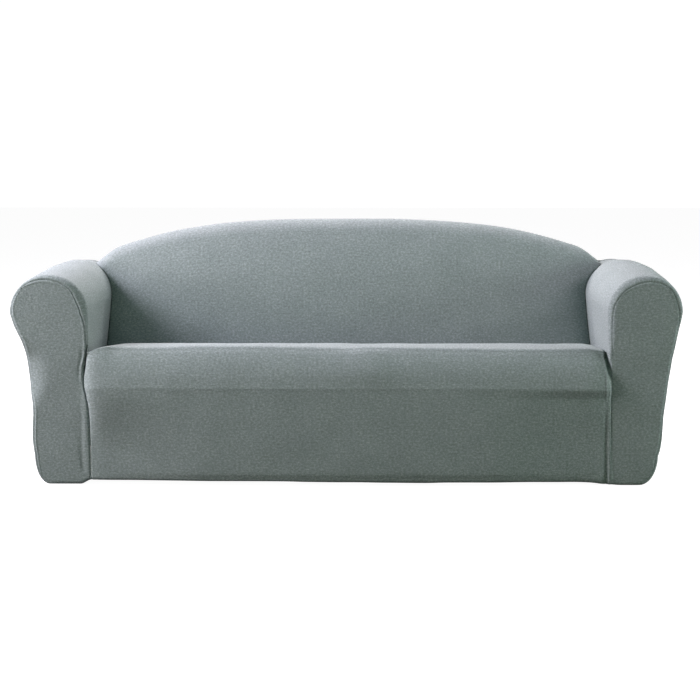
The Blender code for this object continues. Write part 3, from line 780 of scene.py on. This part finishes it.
def seatGrid():
    index = np.arange(len(seatProfile["depth"]), dtype=float)
    depthAt, heightAt = (softCurve(index, seatProfile[key]) for key in ("depth", "height"))
    top, backDepth = coverSize["deckCorner"], coverSize["backDepth"]
    corner = {}
    for name, arm in armSizes.items():
        deck = 180 + (arm["rollHeight"] - top) * 1000
        corner[name] = [float(edgeTable(name, column, deck)) for column in ("inset", "round")]

    def sidePath(name, kind, part):
        # reach, depth and height of the panel's side edge
        arm, (inset, radius) = armSizes[name], corner[name]
        if kind == "deck":
            depth = mix(backDepth, radius, part)
            reach, height = deckSide(arm, depth)
            return float(reach), depth, float(height)
        if kind == "edge":
            arc = math.pi / 2 * radius
            went = part * (arc + max(inset - radius, 0.0))
            angle = min(went / arc, 1.0) * math.pi / 2
            reach = arm["deckFront"] + (radius * (1 - math.cos(angle)) + max(went - arc, 0.0))
            return reach, radius * (1 - math.sin(angle)), top - seatSides["cornerGap"] * part
        height = mix(top - seatSides["cornerGap"], seatProfile["height"][-1], part)
        return float(readColumn(skirtSeam, name, height)), 0.0, height

    rows = []
    edgeRow, frontRow = seatProfile["edge"], seatProfile["front"] - 1
    depths, edgeDepth = -np.array(seatProfile["depth"][: edgeRow + 1]), seatProfile["depth"][edgeRow]
    for depth in mix(backDepth, edgeDepth, gradedParts(*seatSides["deckRows"])):
        at = float(np.interp(-depth, depths, index[: edgeRow + 1]))
        rows.append((depth, float(heightAt(at)), "deck", (backDepth - depth) / (backDepth - edgeDepth)))
    for step in range(1, seatSides["edgeRows"] + 1):
        part = step / seatSides["edgeRows"]
        at = mix(float(edgeRow), float(frontRow), part)
        rows.append((float(depthAt(at)), float(heightAt(at)), "edge", part))
    heights, (upper, lower) = seatProfile["height"][frontRow:], seatProfile["fold"]
    first, last = heights[0], heights[-1]
    frontHeights = np.concatenate([
        mix(first, upper, gradedParts(first - upper, *seatSides["cushionRows"], False))[:-1],
        np.linspace(upper, lower, seatSides["foldRows"] + 1)[:-1],
        mix(lower, last, gradedParts(lower - last, *seatSides["skirtRows"])),
    ])
    for height in frontHeights[1:]:
        at = float(np.interp(-height, -np.array(heights), index[frontRow:]))
        rows.append((float(depthAt(at)), height, "front", (first - height) / (first - frontHeights[-1])))

    width = seatSides["sideWidth"]
    fine, coarse, spread = meshSize["fine"], meshSize["coarse"], seatSides["sideSpread"]
    distances = gradedParts(width, fine, coarse, spread, False) * width
    grid = []
    for depth, height, kind, part in rows:
        sides = {name: sidePath(name, kind, part) for name in armSizes}
        left, right = (side[0] - distances for side in sides.values())
        middle = np.linspace(-left[-1], right[-1], seatSides["middleColumns"])[1:-1]
        x = np.concatenate([-left, middle, right[::-1]])
        y, z = np.empty_like(x), np.empty_like(x)
        drop = readColumn(cushionEdge, "drop", x, "x") * dropShare(height, depth)
        ridge = readColumn(cushionEdge, "ridge", x, "ridgeX") * ridgeShare(height)
        for name, arm in armSizes.items():
            mine = x * arm["side"] > 0
            reach, sideDepth, sideHeight = sides[name]
            distance = reach - abs(x[mine])
            width = seatSides["fall"][name]
            if name == "left":
                more, start, span = cornerPull["fall"]
                width += more * float(blendStep((depth - start) / span))
            fall = np.maximum(1 - distance / width, 0.0) ** 2
            high = mix(height - drop[mine], sideHeight, fall)
            deep = depth - (ridge[mine] if kind == "front" else 0.0)
            deep = deep - pulledForward(name, deep, distance)
            if kind == "deck":
                tuck = 1 - blendStep(distance / seatSides["tuck"])
                away = np.minimum(x[mine] - x[0], x[-1] - x[mine])
                swell = blendStep((depth - backLook["deckFrom"]) / (backDepth - backLook["deckFrom"]))
                deep = mix(deep, sideDepth, tuck) - backStand(x[mine], away) * swell
            else:
                deep = cushionDepth(name, abs(x[mine]), high, deep, reach, sideDepth)
            y[mine] = deep + frontRelief(name, abs(x[mine]), high, deep)
            z[mine] = high
        grid.append(np.stack([x, coverSize["frontY"] + y, z], axis=1))
    return np.array(grid + hemRows(grid[-1], skirtHem(grid[-1][:, 0])))


# Inside back and the top of the arch

def backSide(name):
    # the side edge of the inside back up the inside arm, then the top's edge to the rear
    lines = sectionLines(name)
    edge, tags = [], tagsOf(lines)
    for line in lines[: tags["notch"] + 1]:
        depth = farEnd(line)
        reach, height = line["at"](depth)
        edge.append((float(reach), depth, float(height)))
    return np.array(edge), tags["landing"]


def insideBackGrid():
    (left, landing), (right, _) = backSide("left"), backSide("right")
    radius, roundSteps = crestSize["round"], crestSize["steps"]
    faceRows = landing + 1 - roundSteps
    parts = gradedParts(*backLook["columns"])

    def across(row):
        return mix(-left[row, 0], right[row, 0], parts)

    bottom = np.stack([across(0), np.full(len(parts), coverSize["backFoot"])], axis=1)
    bottom[0, 1], bottom[-1, 1] = left[0, 2], right[0, 2]
    x = across(faceRows - 1)
    top = np.stack([x, crestHeight(x) - radius], axis=1)
    top[0, 1], top[-1, 1] = left[faceRows - 1, 2], right[faceRows - 1, 2]
    sides = [edge[:faceRows, [0, 2]] * (sign, 1) for sign, edge in ((-1, left), (1, right))]
    flat = transfinite(*sides, bottom, top)
    fadeFrom, loss = backLook["fade"]
    up = np.linspace(0, 1, faceRows)[:, None]
    share = 1 - loss * np.clip((up - fadeFrom) / (1 - fadeFrom), 0.0, 1.0) ** 2
    away = np.minimum(flat[..., 0] - flat[:, :1, 0], flat[:, -1:, 0] - flat[..., 0])
    below = np.maximum(crestHeight(flat[..., 0]) - flat[..., 1], radius)
    depth = backDepthAt(flat[..., 1], below) - backStand(flat[..., 0], away) * share
    depth[:, 0], depth[:, -1] = left[:faceRows, 1], right[:faceRows, 1]
    grid = [np.stack([flat[..., 0], coverSize["frontY"] + depth, flat[..., 1]], axis=-1)]
    for step in range(1, roundSteps + 1):
        row, below = faceRows - 1 + step, crestBelow(step)
        x = across(row)
        height = crestHeight(x) - below
        stand = backStand(x, np.minimum(x - x[0], x[-1] - x))
        depth = backDepthAt(height, below) - stand * (1 - loss) * (1 - step / roundSteps)
        for column, edge in ((0, left), (-1, right)):
            depth[column], height[column] = edge[row, 1:]
        grid.append(np.stack([x, coverSize["frontY"] + depth, height], axis=-1)[None])
    crest = grid[-1][0, :, 1] - coverSize["frontY"]
    steps, edge, onLeft = len(left) - 1 - landing, abs(2 * parts - 1) ** crestSize["edge"], parts < 0.5
    for step in range(1, steps + 1):
        start, end, part = left[landing + step], right[landing + step], step / steps
        x = across(landing + step)
        sideFall = np.where(onLeft, crestHeight(start[0]) - start[2], crestHeight(end[0]) - end[2])
        fall = mix(crestSize["fall"] * part ** crestSize["fallCurve"], sideFall, edge)
        depth = mix(mix(crest, rearSeam, part), np.where(onLeft, start[1], end[1]), edge)
        grid.append(np.stack([x, coverSize["frontY"] + depth, crestHeight(x) - fall], axis=-1)[None])
    return np.concatenate(grid)


# Outside back

rearLook = {"rows": 64, "columns": 140, "roundSteps": 7, "crown": 0.004}


def insetLoop(loop, distance):
    before, after = loop - np.roll(loop, 1, axis=0), np.roll(loop, -1, axis=0) - loop
    normals = np.zeros_like(loop)
    for edge in (before, after):
        length = np.linalg.norm(edge, axis=1)[:, None]
        normals += np.stack([edge[:, 1], -edge[:, 0]], axis=1) / length / 2
    return loop + normals * distance / (normals**2).sum(axis=1)[:, None]


def outsideBackGrids(back):
    # the flat rear face, and rings from the seam round the rear corner
    sides = {}
    for name, arm in armSizes.items():
        lines = sectionLines(name)
        tags = tagsOf(lines)
        points = np.array([line["at"](rearSeam) for line in lines[tags["notch"] : tags["end"] + 3]])
        sides[name] = points * (arm["side"], 1)
    arch = back[-1][1:-1][:, [0, 2]]
    rows, columns = rearLook["rows"], rearLook["columns"]
    middleReach, middleHeight = armSizes["left"]["rollReach"], armSizes["left"]["rollHeight"]

    def split(points):
        # the outer side below 45 degrees of the roll, and the rest that leads to the arch
        away = abs((points[:, 1] - middleHeight) - (abs(points[:, 0]) - middleReach))
        lowest = int(np.argmin(away))
        return points[lowest:], points[: lowest + 1]

    (leftLow, leftHigh), (rightLow, rightHigh) = split(sides["left"]), split(sides["right"])
    left, right = (resample(low[::-1], np.linspace(0, 1, rows)) for low in (leftLow, rightLow))
    top = resample(np.concatenate([leftHigh[::-1], arch, rightHigh]), np.linspace(0, 1, columns))
    bottom = mix(left[0], right[0], np.linspace(0, 1, columns)[:, None])
    loop = np.concatenate([left[:-1], top[:-1], right[::-1][:-1], bottom[::-1][:-1]])
    rearDepth, radius = coverSize["rearDepth"], coverSize["rearRound"]
    first = np.full(len(loop), rearSeam)
    first[len(left) + len(top) + len(right) - 2 :] = rearDepth - radius - hemSize["turn"]
    rings = [np.stack([loop[:, 0], coverSize["frontY"] + first, loop[:, 1]], axis=1)]
    for step in range(rearLook["roundSteps"] + 1):
        angle = math.pi / 2 * step / rearLook["roundSteps"]
        moved = insetLoop(loop, radius * (1 - math.cos(angle)))
        y = coverSize["frontY"] + (rearDepth - radius * (1 - math.sin(angle)))
        rings.append(np.stack([moved[:, 0], np.full(len(moved), y), moved[:, 1]], axis=1))
    last = rings[-1][:, [0, 2]]
    sideEnd, topEnd = rows - 1, rows + columns - 2
    rightEnd = topEnd + rows - 1
    faceBottom = np.concatenate([last[rightEnd:], last[:1]])[::-1]
    faceRight = last[topEnd : rightEnd + 1][::-1]
    flat = transfinite(last[: sideEnd + 1], faceRight, faceBottom, last[sideEnd : topEnd + 1])
    up, across = np.linspace(0, 1, rows)[:, None], np.linspace(0, 1, columns)[None, :]
    swell = rearLook["crown"] * np.sin(np.pi * up) * np.sin(np.pi * across)
    face = np.stack([flat[..., 0], coverSize["frontY"] + rearDepth + swell, flat[..., 1]], axis=-1)
    rings = np.array(rings)
    return face, np.concatenate([rings, rings[:, :1]], axis=1)


# Turning grids into sheets of cloth

def gridNormals(grid):
    along, up = np.gradient(grid, axis=1), np.gradient(grid, axis=0)
    normals = np.cross(along, up)
    return normals / np.maximum(np.linalg.norm(normals, axis=-1, keepdims=True), 1e-12)


def lengthAlong(grid, axis):
    steps = np.linalg.norm(np.diff(grid, axis=axis), axis=-1)
    zero = np.zeros_like(np.take(steps, [0], axis=axis))
    return np.concatenate([zero, np.cumsum(steps, axis=axis)], axis=axis)


def edgeDistances(grid):
    # distance along the cloth to each edge of a grid
    across, up = lengthAlong(grid, 1), lengthAlong(grid, 0)
    return {"left": across, "right": across[:, -1:] - across, "low": up, "high": up[-1:] - up}


seamLook = {
    "dip": 0.0012,             # a seam pulls the cloth in by this much
    "width": 0.0030,
    "ridge": 0.0009,           # and the allowance inside raises it beside the seam
    "ridgeAt": 0.0065,
    "ridgeWidth": 0.0028,
    "pucker": 0.80,            # part of the dip that comes and goes along the seam
    "puckerSize": 0.011,
    "front": {"left": 1.15, "right": 0.85},
    "inner": {"left": 0.80, "right": 0.35},
}


def seamPull(distance, spread):
    dip = seamLook["dip"] * np.exp(-((distance / seamLook["width"]) ** 2))
    dip = dip * (1 + seamLook["pucker"] * spread)
    ridge = seamLook["ridge"] * np.exp(-(((distance - seamLook["ridgeAt"]) / seamLook["ridgeWidth"]) ** 2))
    return ridge - dip


slackLook = {
    "size": 0.120,             # spacing of the slow unevenness
    "amount": 0.0014,
    "stretch": (1.0, 1.0, 2.4),
    "margin": 0.045,           # it fades out this near to an edge
}


def unevenness(grid, seams):
    # how far the cloth stands out of its smooth shape: seams and slow unevenness away from the edges
    points = grid.reshape(-1, 3)
    away = edgeDistances(grid)
    rise = np.zeros(grid.shape[:2])
    spread = wander(points, seamLook["puckerSize"], 1.0, 3).reshape(rise.shape)
    for edge, strength in seams.items():
        rise += strength * seamPull(away[edge], spread)
    nearest = np.min(list(away.values()), axis=0)
    slow = wander(points, slackLook["size"], slackLook["amount"], 7)
    slow += wander(points * slackLook["stretch"], slackLook["size"], slackLook["amount"] / 2, 11)
    return rise + slow.reshape(rise.shape) * blendStep(nearest / slackLook["margin"])


def makeSheet(name, grids, uvs, outwards, material, edges):
    # one object from grids of points that share their edge rows, with the cloth's thickness
    vertices, faces, uvList = [], [], []
    start = 0
    for number, (grid, uv) in enumerate(zip(grids, uvs)):
        rows, columns = grid.shape[:2]
        normals = gridNormals(grid)
        middle = grid[rows // 2, columns // 2]
        if normals[rows // 2, columns // 2] @ np.asarray(outwards(middle)) < 0:
            normals = -normals
        if edges[number] is not None:
            grid = grid + normals * unevenness(grid, edges[number])[..., None]
        vertices.append(grid.reshape(-1, 3))
        uvList.append(uv.reshape(-1, 2))
        index = np.arange(rows * columns).reshape(rows, columns) + start
        quads = np.stack([index[:-1, :-1], index[:-1, 1:], index[1:, 1:], index[1:, :-1]], axis=-1)
        faces.append(quads.reshape(-1, 4))
        start += rows * columns
    vertices, faces, uvList = np.concatenate(vertices), np.concatenate(faces), np.concatenate(uvList)
    keys, inverse = np.unique(np.round(vertices, 6), axis=0, return_inverse=True)
    firsts = np.zeros(len(keys), int)
    firsts[inverse.reshape(-1)[::-1]] = np.arange(len(vertices))[::-1]
    merged = inverse.reshape(-1)[faces]
    loopUv = uvList[faces]
    points = vertices[firsts]
    whole = np.array([len(set(quad)) == 4 for quad in merged.tolist()])
    data = bpy.data.meshes.new(name)
    data.from_pydata(points.tolist(), [], merged[whole].tolist())
    layer = data.uv_layers.new(name="Cloth")
    layer.data.foreach_set("uv", loopUv[whole].reshape(-1).astype(np.float32))
    centres = np.empty(len(data.polygons) * 3)
    facing = np.empty(len(data.polygons) * 3)
    data.polygons.foreach_get("center", centres)
    data.polygons.foreach_get("normal", facing)
    centres, facing = centres.reshape(-1, 3), facing.reshape(-1, 3)
    some = range(0, len(centres), 7)
    if sum(facing[number] @ np.asarray(outwards(centres[number])) for number in some) < 0:
        data.flip_normals()
    data.shade_smooth()
    data.materials.append(material)
    item = bpy.data.objects.new(name, data)
    bpy.context.scene.collection.objects.link(item)
    thickness = item.modifiers.new("Cloth thickness", "SOLIDIFY")
    thickness.thickness = coverSize["cloth"]
    thickness.offset = -1.0
    print(name, "has", len(points), "points")
    return item


knitLook = {
    "grain": (125.0, 165.0),   # fibre clumps per metre, across and along
    "grainContrast": 0.29,
    "speck": (420.0, 520.0),
    "speckContrast": 0.22,
    "streak": (26.0, 420.0),   # faint courses of the knit
    "streakContrast": 0.10,
    "cloud": (9.0, 12.0),      # slow changes of shade
    "cloudContrast": 0.05,
    "stitches": (620.0, 460.0),  # stitch columns and rows per metre
    "slant": 1.2,              # how steep the legs of a stitch are
    "loopShare": 0.35,         # height of a loop beside that of its column
    "stitchDepth": 0.00022,
    "grainDepth": 0.00035,
    "shade": (0.200, 0.240, 0.236, 1),
    "light": (0.405, 0.460, 0.450, 1),
    "dark": (0.090, 0.110, 0.108, 1),
    "roughness": 0.88,
    "specular": 0.3,
}


def addSocket(tree, name, kind, out=False):
    tree.interface.new_socket(name=name, in_out="OUTPUT" if out else "INPUT", socket_type=kind)


def newNode(tree, kind, **values):
    node = tree.nodes.new(kind)
    for key, value in values.items():
        node.inputs[key].default_value = value
    return node


def mathNode(tree, operation, first, second=None, third=None):
    node = tree.nodes.new("ShaderNodeMath")
    node.operation = operation
    for socket, value in zip(node.inputs, (first, second, third)):
        if value is None:
            continue
        if isinstance(value, (int, float)):
            socket.default_value = value
        else:
            tree.links.new(value, socket)
    return node.outputs[0]


def scaled(tree, vector, scale, offset=(0, 0, 0)):
    node = newNode(tree, "ShaderNodeMapping", Scale=(*scale, 1), Location=offset)
    tree.links.new(vector, node.inputs["Vector"])
    return node.outputs[0]


def noiseNode(tree, vector, detail):
    node = newNode(tree, "ShaderNodeTexNoise", Scale=1.0, Detail=detail, Roughness=0.5)
    node.noise_dimensions = "2D"
    tree.links.new(vector, node.inputs["Vector"])
    return mathNode(tree, "MULTIPLY_ADD", node.outputs["Fac"], 2.0, -1.0)


def heatherGroup():
    # light and dark fibres of the yarn: a shade from -1 to 1 around the middle
    tree = bpy.data.node_groups.new("Heather", "ShaderNodeTree")
    addSocket(tree, "Cloth", "NodeSocketVector")
    addSocket(tree, "Shade", "NodeSocketFloat", True)
    addSocket(tree, "Rise", "NodeSocketFloat", True)
    start, end = tree.nodes.new("NodeGroupInput"), tree.nodes.new("NodeGroupOutput")
    cloth = start.outputs["Cloth"]
    grain = noiseNode(tree, scaled(tree, cloth, knitLook["grain"]), 1.0)
    total = mathNode(tree, "MULTIPLY", grain, knitLook["grainContrast"] * 2)
    layers = (("speck", (3.1, 7.7, 0), 0.0), ("streak", (11.3, 2.9, 0), 1.0), ("cloud", (5.0, 1.0, 0), 2.0))
    for name, offset, detail in layers:
        layer = noiseNode(tree, scaled(tree, cloth, knitLook[name], offset), detail)
        total = mathNode(tree, "MULTIPLY_ADD", layer, knitLook[name + "Contrast"] * 2, total)
    tree.links.new(total, end.inputs["Shade"])
    tree.links.new(mathNode(tree, "MULTIPLY", grain, knitLook["grainDepth"]), end.inputs["Rise"])
    return tree


def stitchGroup():
    # height of the fine V stitches, columns of them side by side
    tree = bpy.data.node_groups.new("Knit stitches", "ShaderNodeTree")
    addSocket(tree, "Cloth", "NodeSocketVector")
    addSocket(tree, "Rise", "NodeSocketFloat", True)
    start, end = tree.nodes.new("NodeGroupInput"), tree.nodes.new("NodeGroupOutput")
    parts = tree.nodes.new("ShaderNodeSeparateXYZ")
    tree.links.new(start.outputs["Cloth"], parts.inputs[0])
    across = mathNode(tree, "MULTIPLY", parts.outputs["X"], knitLook["stitches"][0])
    along = mathNode(tree, "MULTIPLY", parts.outputs["Y"], knitLook["stitches"][1])
    within = mathNode(tree, "PINGPONG", across, 0.5)
    slant = mathNode(tree, "MULTIPLY_ADD", within, knitLook["slant"], along)
    loop = mathNode(tree, "SINE", mathNode(tree, "MULTIPLY", slant, 2 * math.pi))
    rib = mathNode(tree, "SINE", mathNode(tree, "MULTIPLY", within, 2 * math.pi))
    height = mathNode(tree, "MULTIPLY_ADD", loop, knitLook["loopShare"], rib)
    tree.links.new(mathNode(tree, "MULTIPLY", height, knitLook["stitchDepth"]), end.inputs["Rise"])
    return tree


def clothMaterial(name):
    material = bpy.data.materials.new(name)
    material.use_nodes = True
    tree = material.node_tree
    shader = tree.nodes["Principled BSDF"]
    layer = tree.nodes.new("ShaderNodeUVMap")
    layer.uv_map = "Cloth"
    heather, stitches = tree.nodes.new("ShaderNodeGroup"), tree.nodes.new("ShaderNodeGroup")
    heather.node_tree, stitches.node_tree = heatherGroup(), stitchGroup()
    for group in (heather, stitches):
        tree.links.new(layer.outputs["UV"], group.inputs["Cloth"])
    ramp = tree.nodes.new("ShaderNodeValToRGB")
    ramp.color_ramp.elements[0].color, ramp.color_ramp.elements[1].color = knitLook["dark"], knitLook["light"]
    middle = ramp.color_ramp.elements.new(0.5)
    middle.color = knitLook["shade"]
    tree.links.new(mathNode(tree, "MULTIPLY_ADD", heather.outputs["Shade"], 0.5, 0.5), ramp.inputs["Fac"])
    tree.links.new(ramp.outputs["Color"], shader.inputs["Base Color"])
    bump = newNode(tree, "ShaderNodeBump", Strength=1.0, Distance=1.0)
    rise = mathNode(tree, "ADD", heather.outputs["Rise"], stitches.outputs["Rise"])
    tree.links.new(rise, bump.inputs["Height"])
    tree.links.new(bump.outputs["Normal"], shader.inputs["Normal"])
    shader.inputs["Roughness"].default_value = knitLook["roughness"]
    shader.inputs["Specular IOR Level"].default_value = knitLook["specular"]
    return material


# The seven panels: the node each stands for, the size it was cut to, and how deep its seams are

panels = {}
for side, width, area in (("left", 0.26, 0.125), ("right", 0.25, 0.120)):
    front, inner = seamLook["front"][side], seamLook["inner"][side]
    panels[f"armWrap_{side}"] = {
        "node": f"arm_wrap_{side}", "flat": (0.84, 1.22), "seams": {"left": front, "right": 0.5, "low": 0.6}}
    panels[f"armFront_{side}"] = {
        "node": f"arm_front_{side}", "flat": (width, 0.70), "area": area,
        "seams": {"left": inner, "right": front, "high": front}}
panels["seatFront"] = {
    "node": "seat_front", "flat": (1.74, 1.05), "seams": {"left": 0.8, "right": 0.15, "low": 0.6}}
panels["insideBack"] = {
    "node": "inside_back", "flat": (1.86, 0.70),
    "seams": {"left": 0.6, "right": 0.6, "low": 0.6, "high": 0.6}}
panels["outsideBack"] = {"node": "outside_back", "flat": (2.20, 0.84), "seams": None}

cloth = clothMaterial("Heathered knit")


def makePanel(name, grids, uvs, outwards):
    panel = panels[name]
    seams = [panel["seams"]] + [None] * (len(grids) - 1)  # a second grid is a turned edge
    item = makeSheet(name, grids, uvs, outwards, cloth, seams)
    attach(item, "root")
    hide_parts(panel["node"])


def runUv(across, grid):
    # the cloth's own places: across it, and by the mean length along it
    return np.stack([across, lengthAlong(grid, 0).mean(axis=1, keepdims=True) + 0 * across], axis=-1)


def turnUv(grid):
    return np.stack([grid[..., 0], grid[..., 2] - grid[..., 1] + coverSize["frontY"]], axis=-1)


for name, arm in armSizes.items():
    grid = armWrapGrid(name)
    x, z = arm["side"] * arm["rollReach"], arm["rollHeight"]
    uv = runUv(grid[..., 1] - coverSize["frontY"], grid)
    makePanel(f"armWrap_{name}", [grid], [uv], lambda at: (at[0] - x, 0.0, at[2] - z))
    face, flap = armFrontGrids(name)
    uvs = [face[..., [0, 2]], turnUv(flap)]
    makePanel(f"armFront_{name}", [face, flap], uvs, lambda at: (0.0, -1.0, 0.0))
seat, back = seatGrid(), insideBackGrid()
for name, grid in (("seatFront", seat), ("insideBack", back)):
    makePanel(name, [grid], [runUv(grid[..., 0], grid)], lambda at: (0.0, -1.0, 1.0))
face, rings = outsideBackGrids(back)
makePanel("outsideBack", [face, rings], [face[..., [0, 2]], rings[..., [0, 2]]], lambda at: (0.0, 1.0, 0.0))
print("panels made")

# Floor, light and camera

stageSize = {"floor": -0.006, "width": 40.0}
floorLook = {"glow": 0.97, "lit": (0.35, 0.35, 0.35, 1), "bounce": (0.20, 0.20, 0.20, 1)}
worldLook = {"seen": 1.05, "fill": 0.0}


def showOrLight(tree, shown, other, outputKind):
    # one shader where the camera sees the surface, another for the light it gives the cover
    seen, choice = newNode(tree, "ShaderNodeLightPath"), newNode(tree, "ShaderNodeMixShader")
    tree.links.new(seen.outputs["Is Camera Ray"], choice.inputs["Fac"])
    tree.links.new(other.outputs[0], choice.inputs[1])
    tree.links.new(shown.outputs[0], choice.inputs[2])
    tree.links.new(choice.outputs["Shader"], newNode(tree, outputKind).inputs["Surface"])


bpy.ops.mesh.primitive_plane_add(size=stageSize["width"], location=(0, 0, stageSize["floor"]))
floor = bpy.context.object
floor.name = "floor"
floorMaterial = bpy.data.materials.new("Pale floor")
floorMaterial.use_nodes = True
tree = floorMaterial.node_tree
tree.nodes.clear()
glow = newNode(tree, "ShaderNodeEmission", Strength=floorLook["glow"])
lit = newNode(tree, "ShaderNodeBsdfDiffuse", Color=floorLook["lit"])
pale = newNode(tree, "ShaderNodeAddShader")
tree.links.new(glow.outputs["Emission"], pale.inputs[0])
tree.links.new(lit.outputs["BSDF"], pale.inputs[1])
bounce = newNode(tree, "ShaderNodeBsdfDiffuse", Color=floorLook["bounce"])
showOrLight(tree, pale, bounce, "ShaderNodeOutputMaterial")
floor.data.materials.append(floorMaterial)

world = bpy.data.worlds.new("Studio")
bpy.context.scene.world = world
world.use_nodes = True
tree = world.node_tree
tree.nodes.clear()
seenSky = newNode(tree, "ShaderNodeBackground", Color=(1, 1, 1, 1), Strength=worldLook["seen"])
fillSky = newNode(tree, "ShaderNodeBackground", Strength=worldLook["fill"])
showOrLight(tree, seenSky, fillSky, "ShaderNodeOutputWorld")


# Softboxes: bearing (0 in front, -90 on the left) and elevation in degrees, distance, size, power
# and color
studioLights = {
    "key": (-71, 28, 2.6, 0.5, 34, (0.982, 0.925, 1.0)),
    "behind": (180, 45, 4.5, 1.2, 210, (1.0, 0.948, 0.931)),
    "frontHigh": (0, 50, 5.5, 2, 41, (0.72, 1.0, 0.94)),
    "front": (25, 0, 5.5, 1.6, 26, (0.78, 1.0, 0.45)),
    "leftLow": (-70, 15, 6, 2, 256, (1.0, 0.935, 0.902)),
    "leftSide": (-85, 35, 6, 2, 250, (0.876, 0.780, 1.0)),
    "rightLow": (80, 8, 4.5, 1.2, 92, (0.845, 1.0, 0.917)),
    "right": (80, 30, 4.5, 1.2, 52, (1.0, 0.842, 0.967)),
    "over": (180, 74, 4.5, 1.6, 44, (0.93, 0.96, 1.0)),
    "rearLeft": (-135, 54, 3.6, 1.4, 120, (1.0, 0.82, 0.938)),
}
lightTarget = Vector((0, 0, 0.4))


def areaLight(name, bearing, elevation, distance, size, power, color):
    bearing, rise = math.radians(bearing), math.radians(elevation)
    away = Vector((math.sin(bearing) * math.cos(rise), -math.cos(bearing) * math.cos(rise), math.sin(rise)))
    data = bpy.data.lights.new(name, "AREA")
    data.shape, data.size, data.energy, data.color = "SQUARE", size, power, color
    item = bpy.data.objects.new(name, data)
    bpy.context.scene.collection.objects.link(item)
    item.location = lightTarget + away * distance
    item.rotation_euler = (-away).to_track_quat("-Z", "Y").to_euler()


for name, spot in studioLights.items():
    areaLight(name, *spot)
print("lights placed")

cameraSize = {
    "place": (0.087, -6.024, 1.169), "down": 7.33, "turn": 0.733,  # turned down and to the left, degrees
    "lens": 88.4, "sensor": 36.0,
}
cameraData = bpy.data.cameras.new("Camera")
cameraData.lens = cameraSize["lens"]
cameraData.sensor_width = cameraSize["sensor"]
camera = bpy.data.objects.new("Camera", cameraData)
bpy.context.scene.collection.objects.link(camera)
camera.location = cameraSize["place"]
camera.rotation_euler = (math.radians(90 - cameraSize["down"]), 0.0, math.radians(cameraSize["turn"]))
bpy.context.scene.camera = camera
bpy.context.scene.view_settings.view_transform = "Standard"
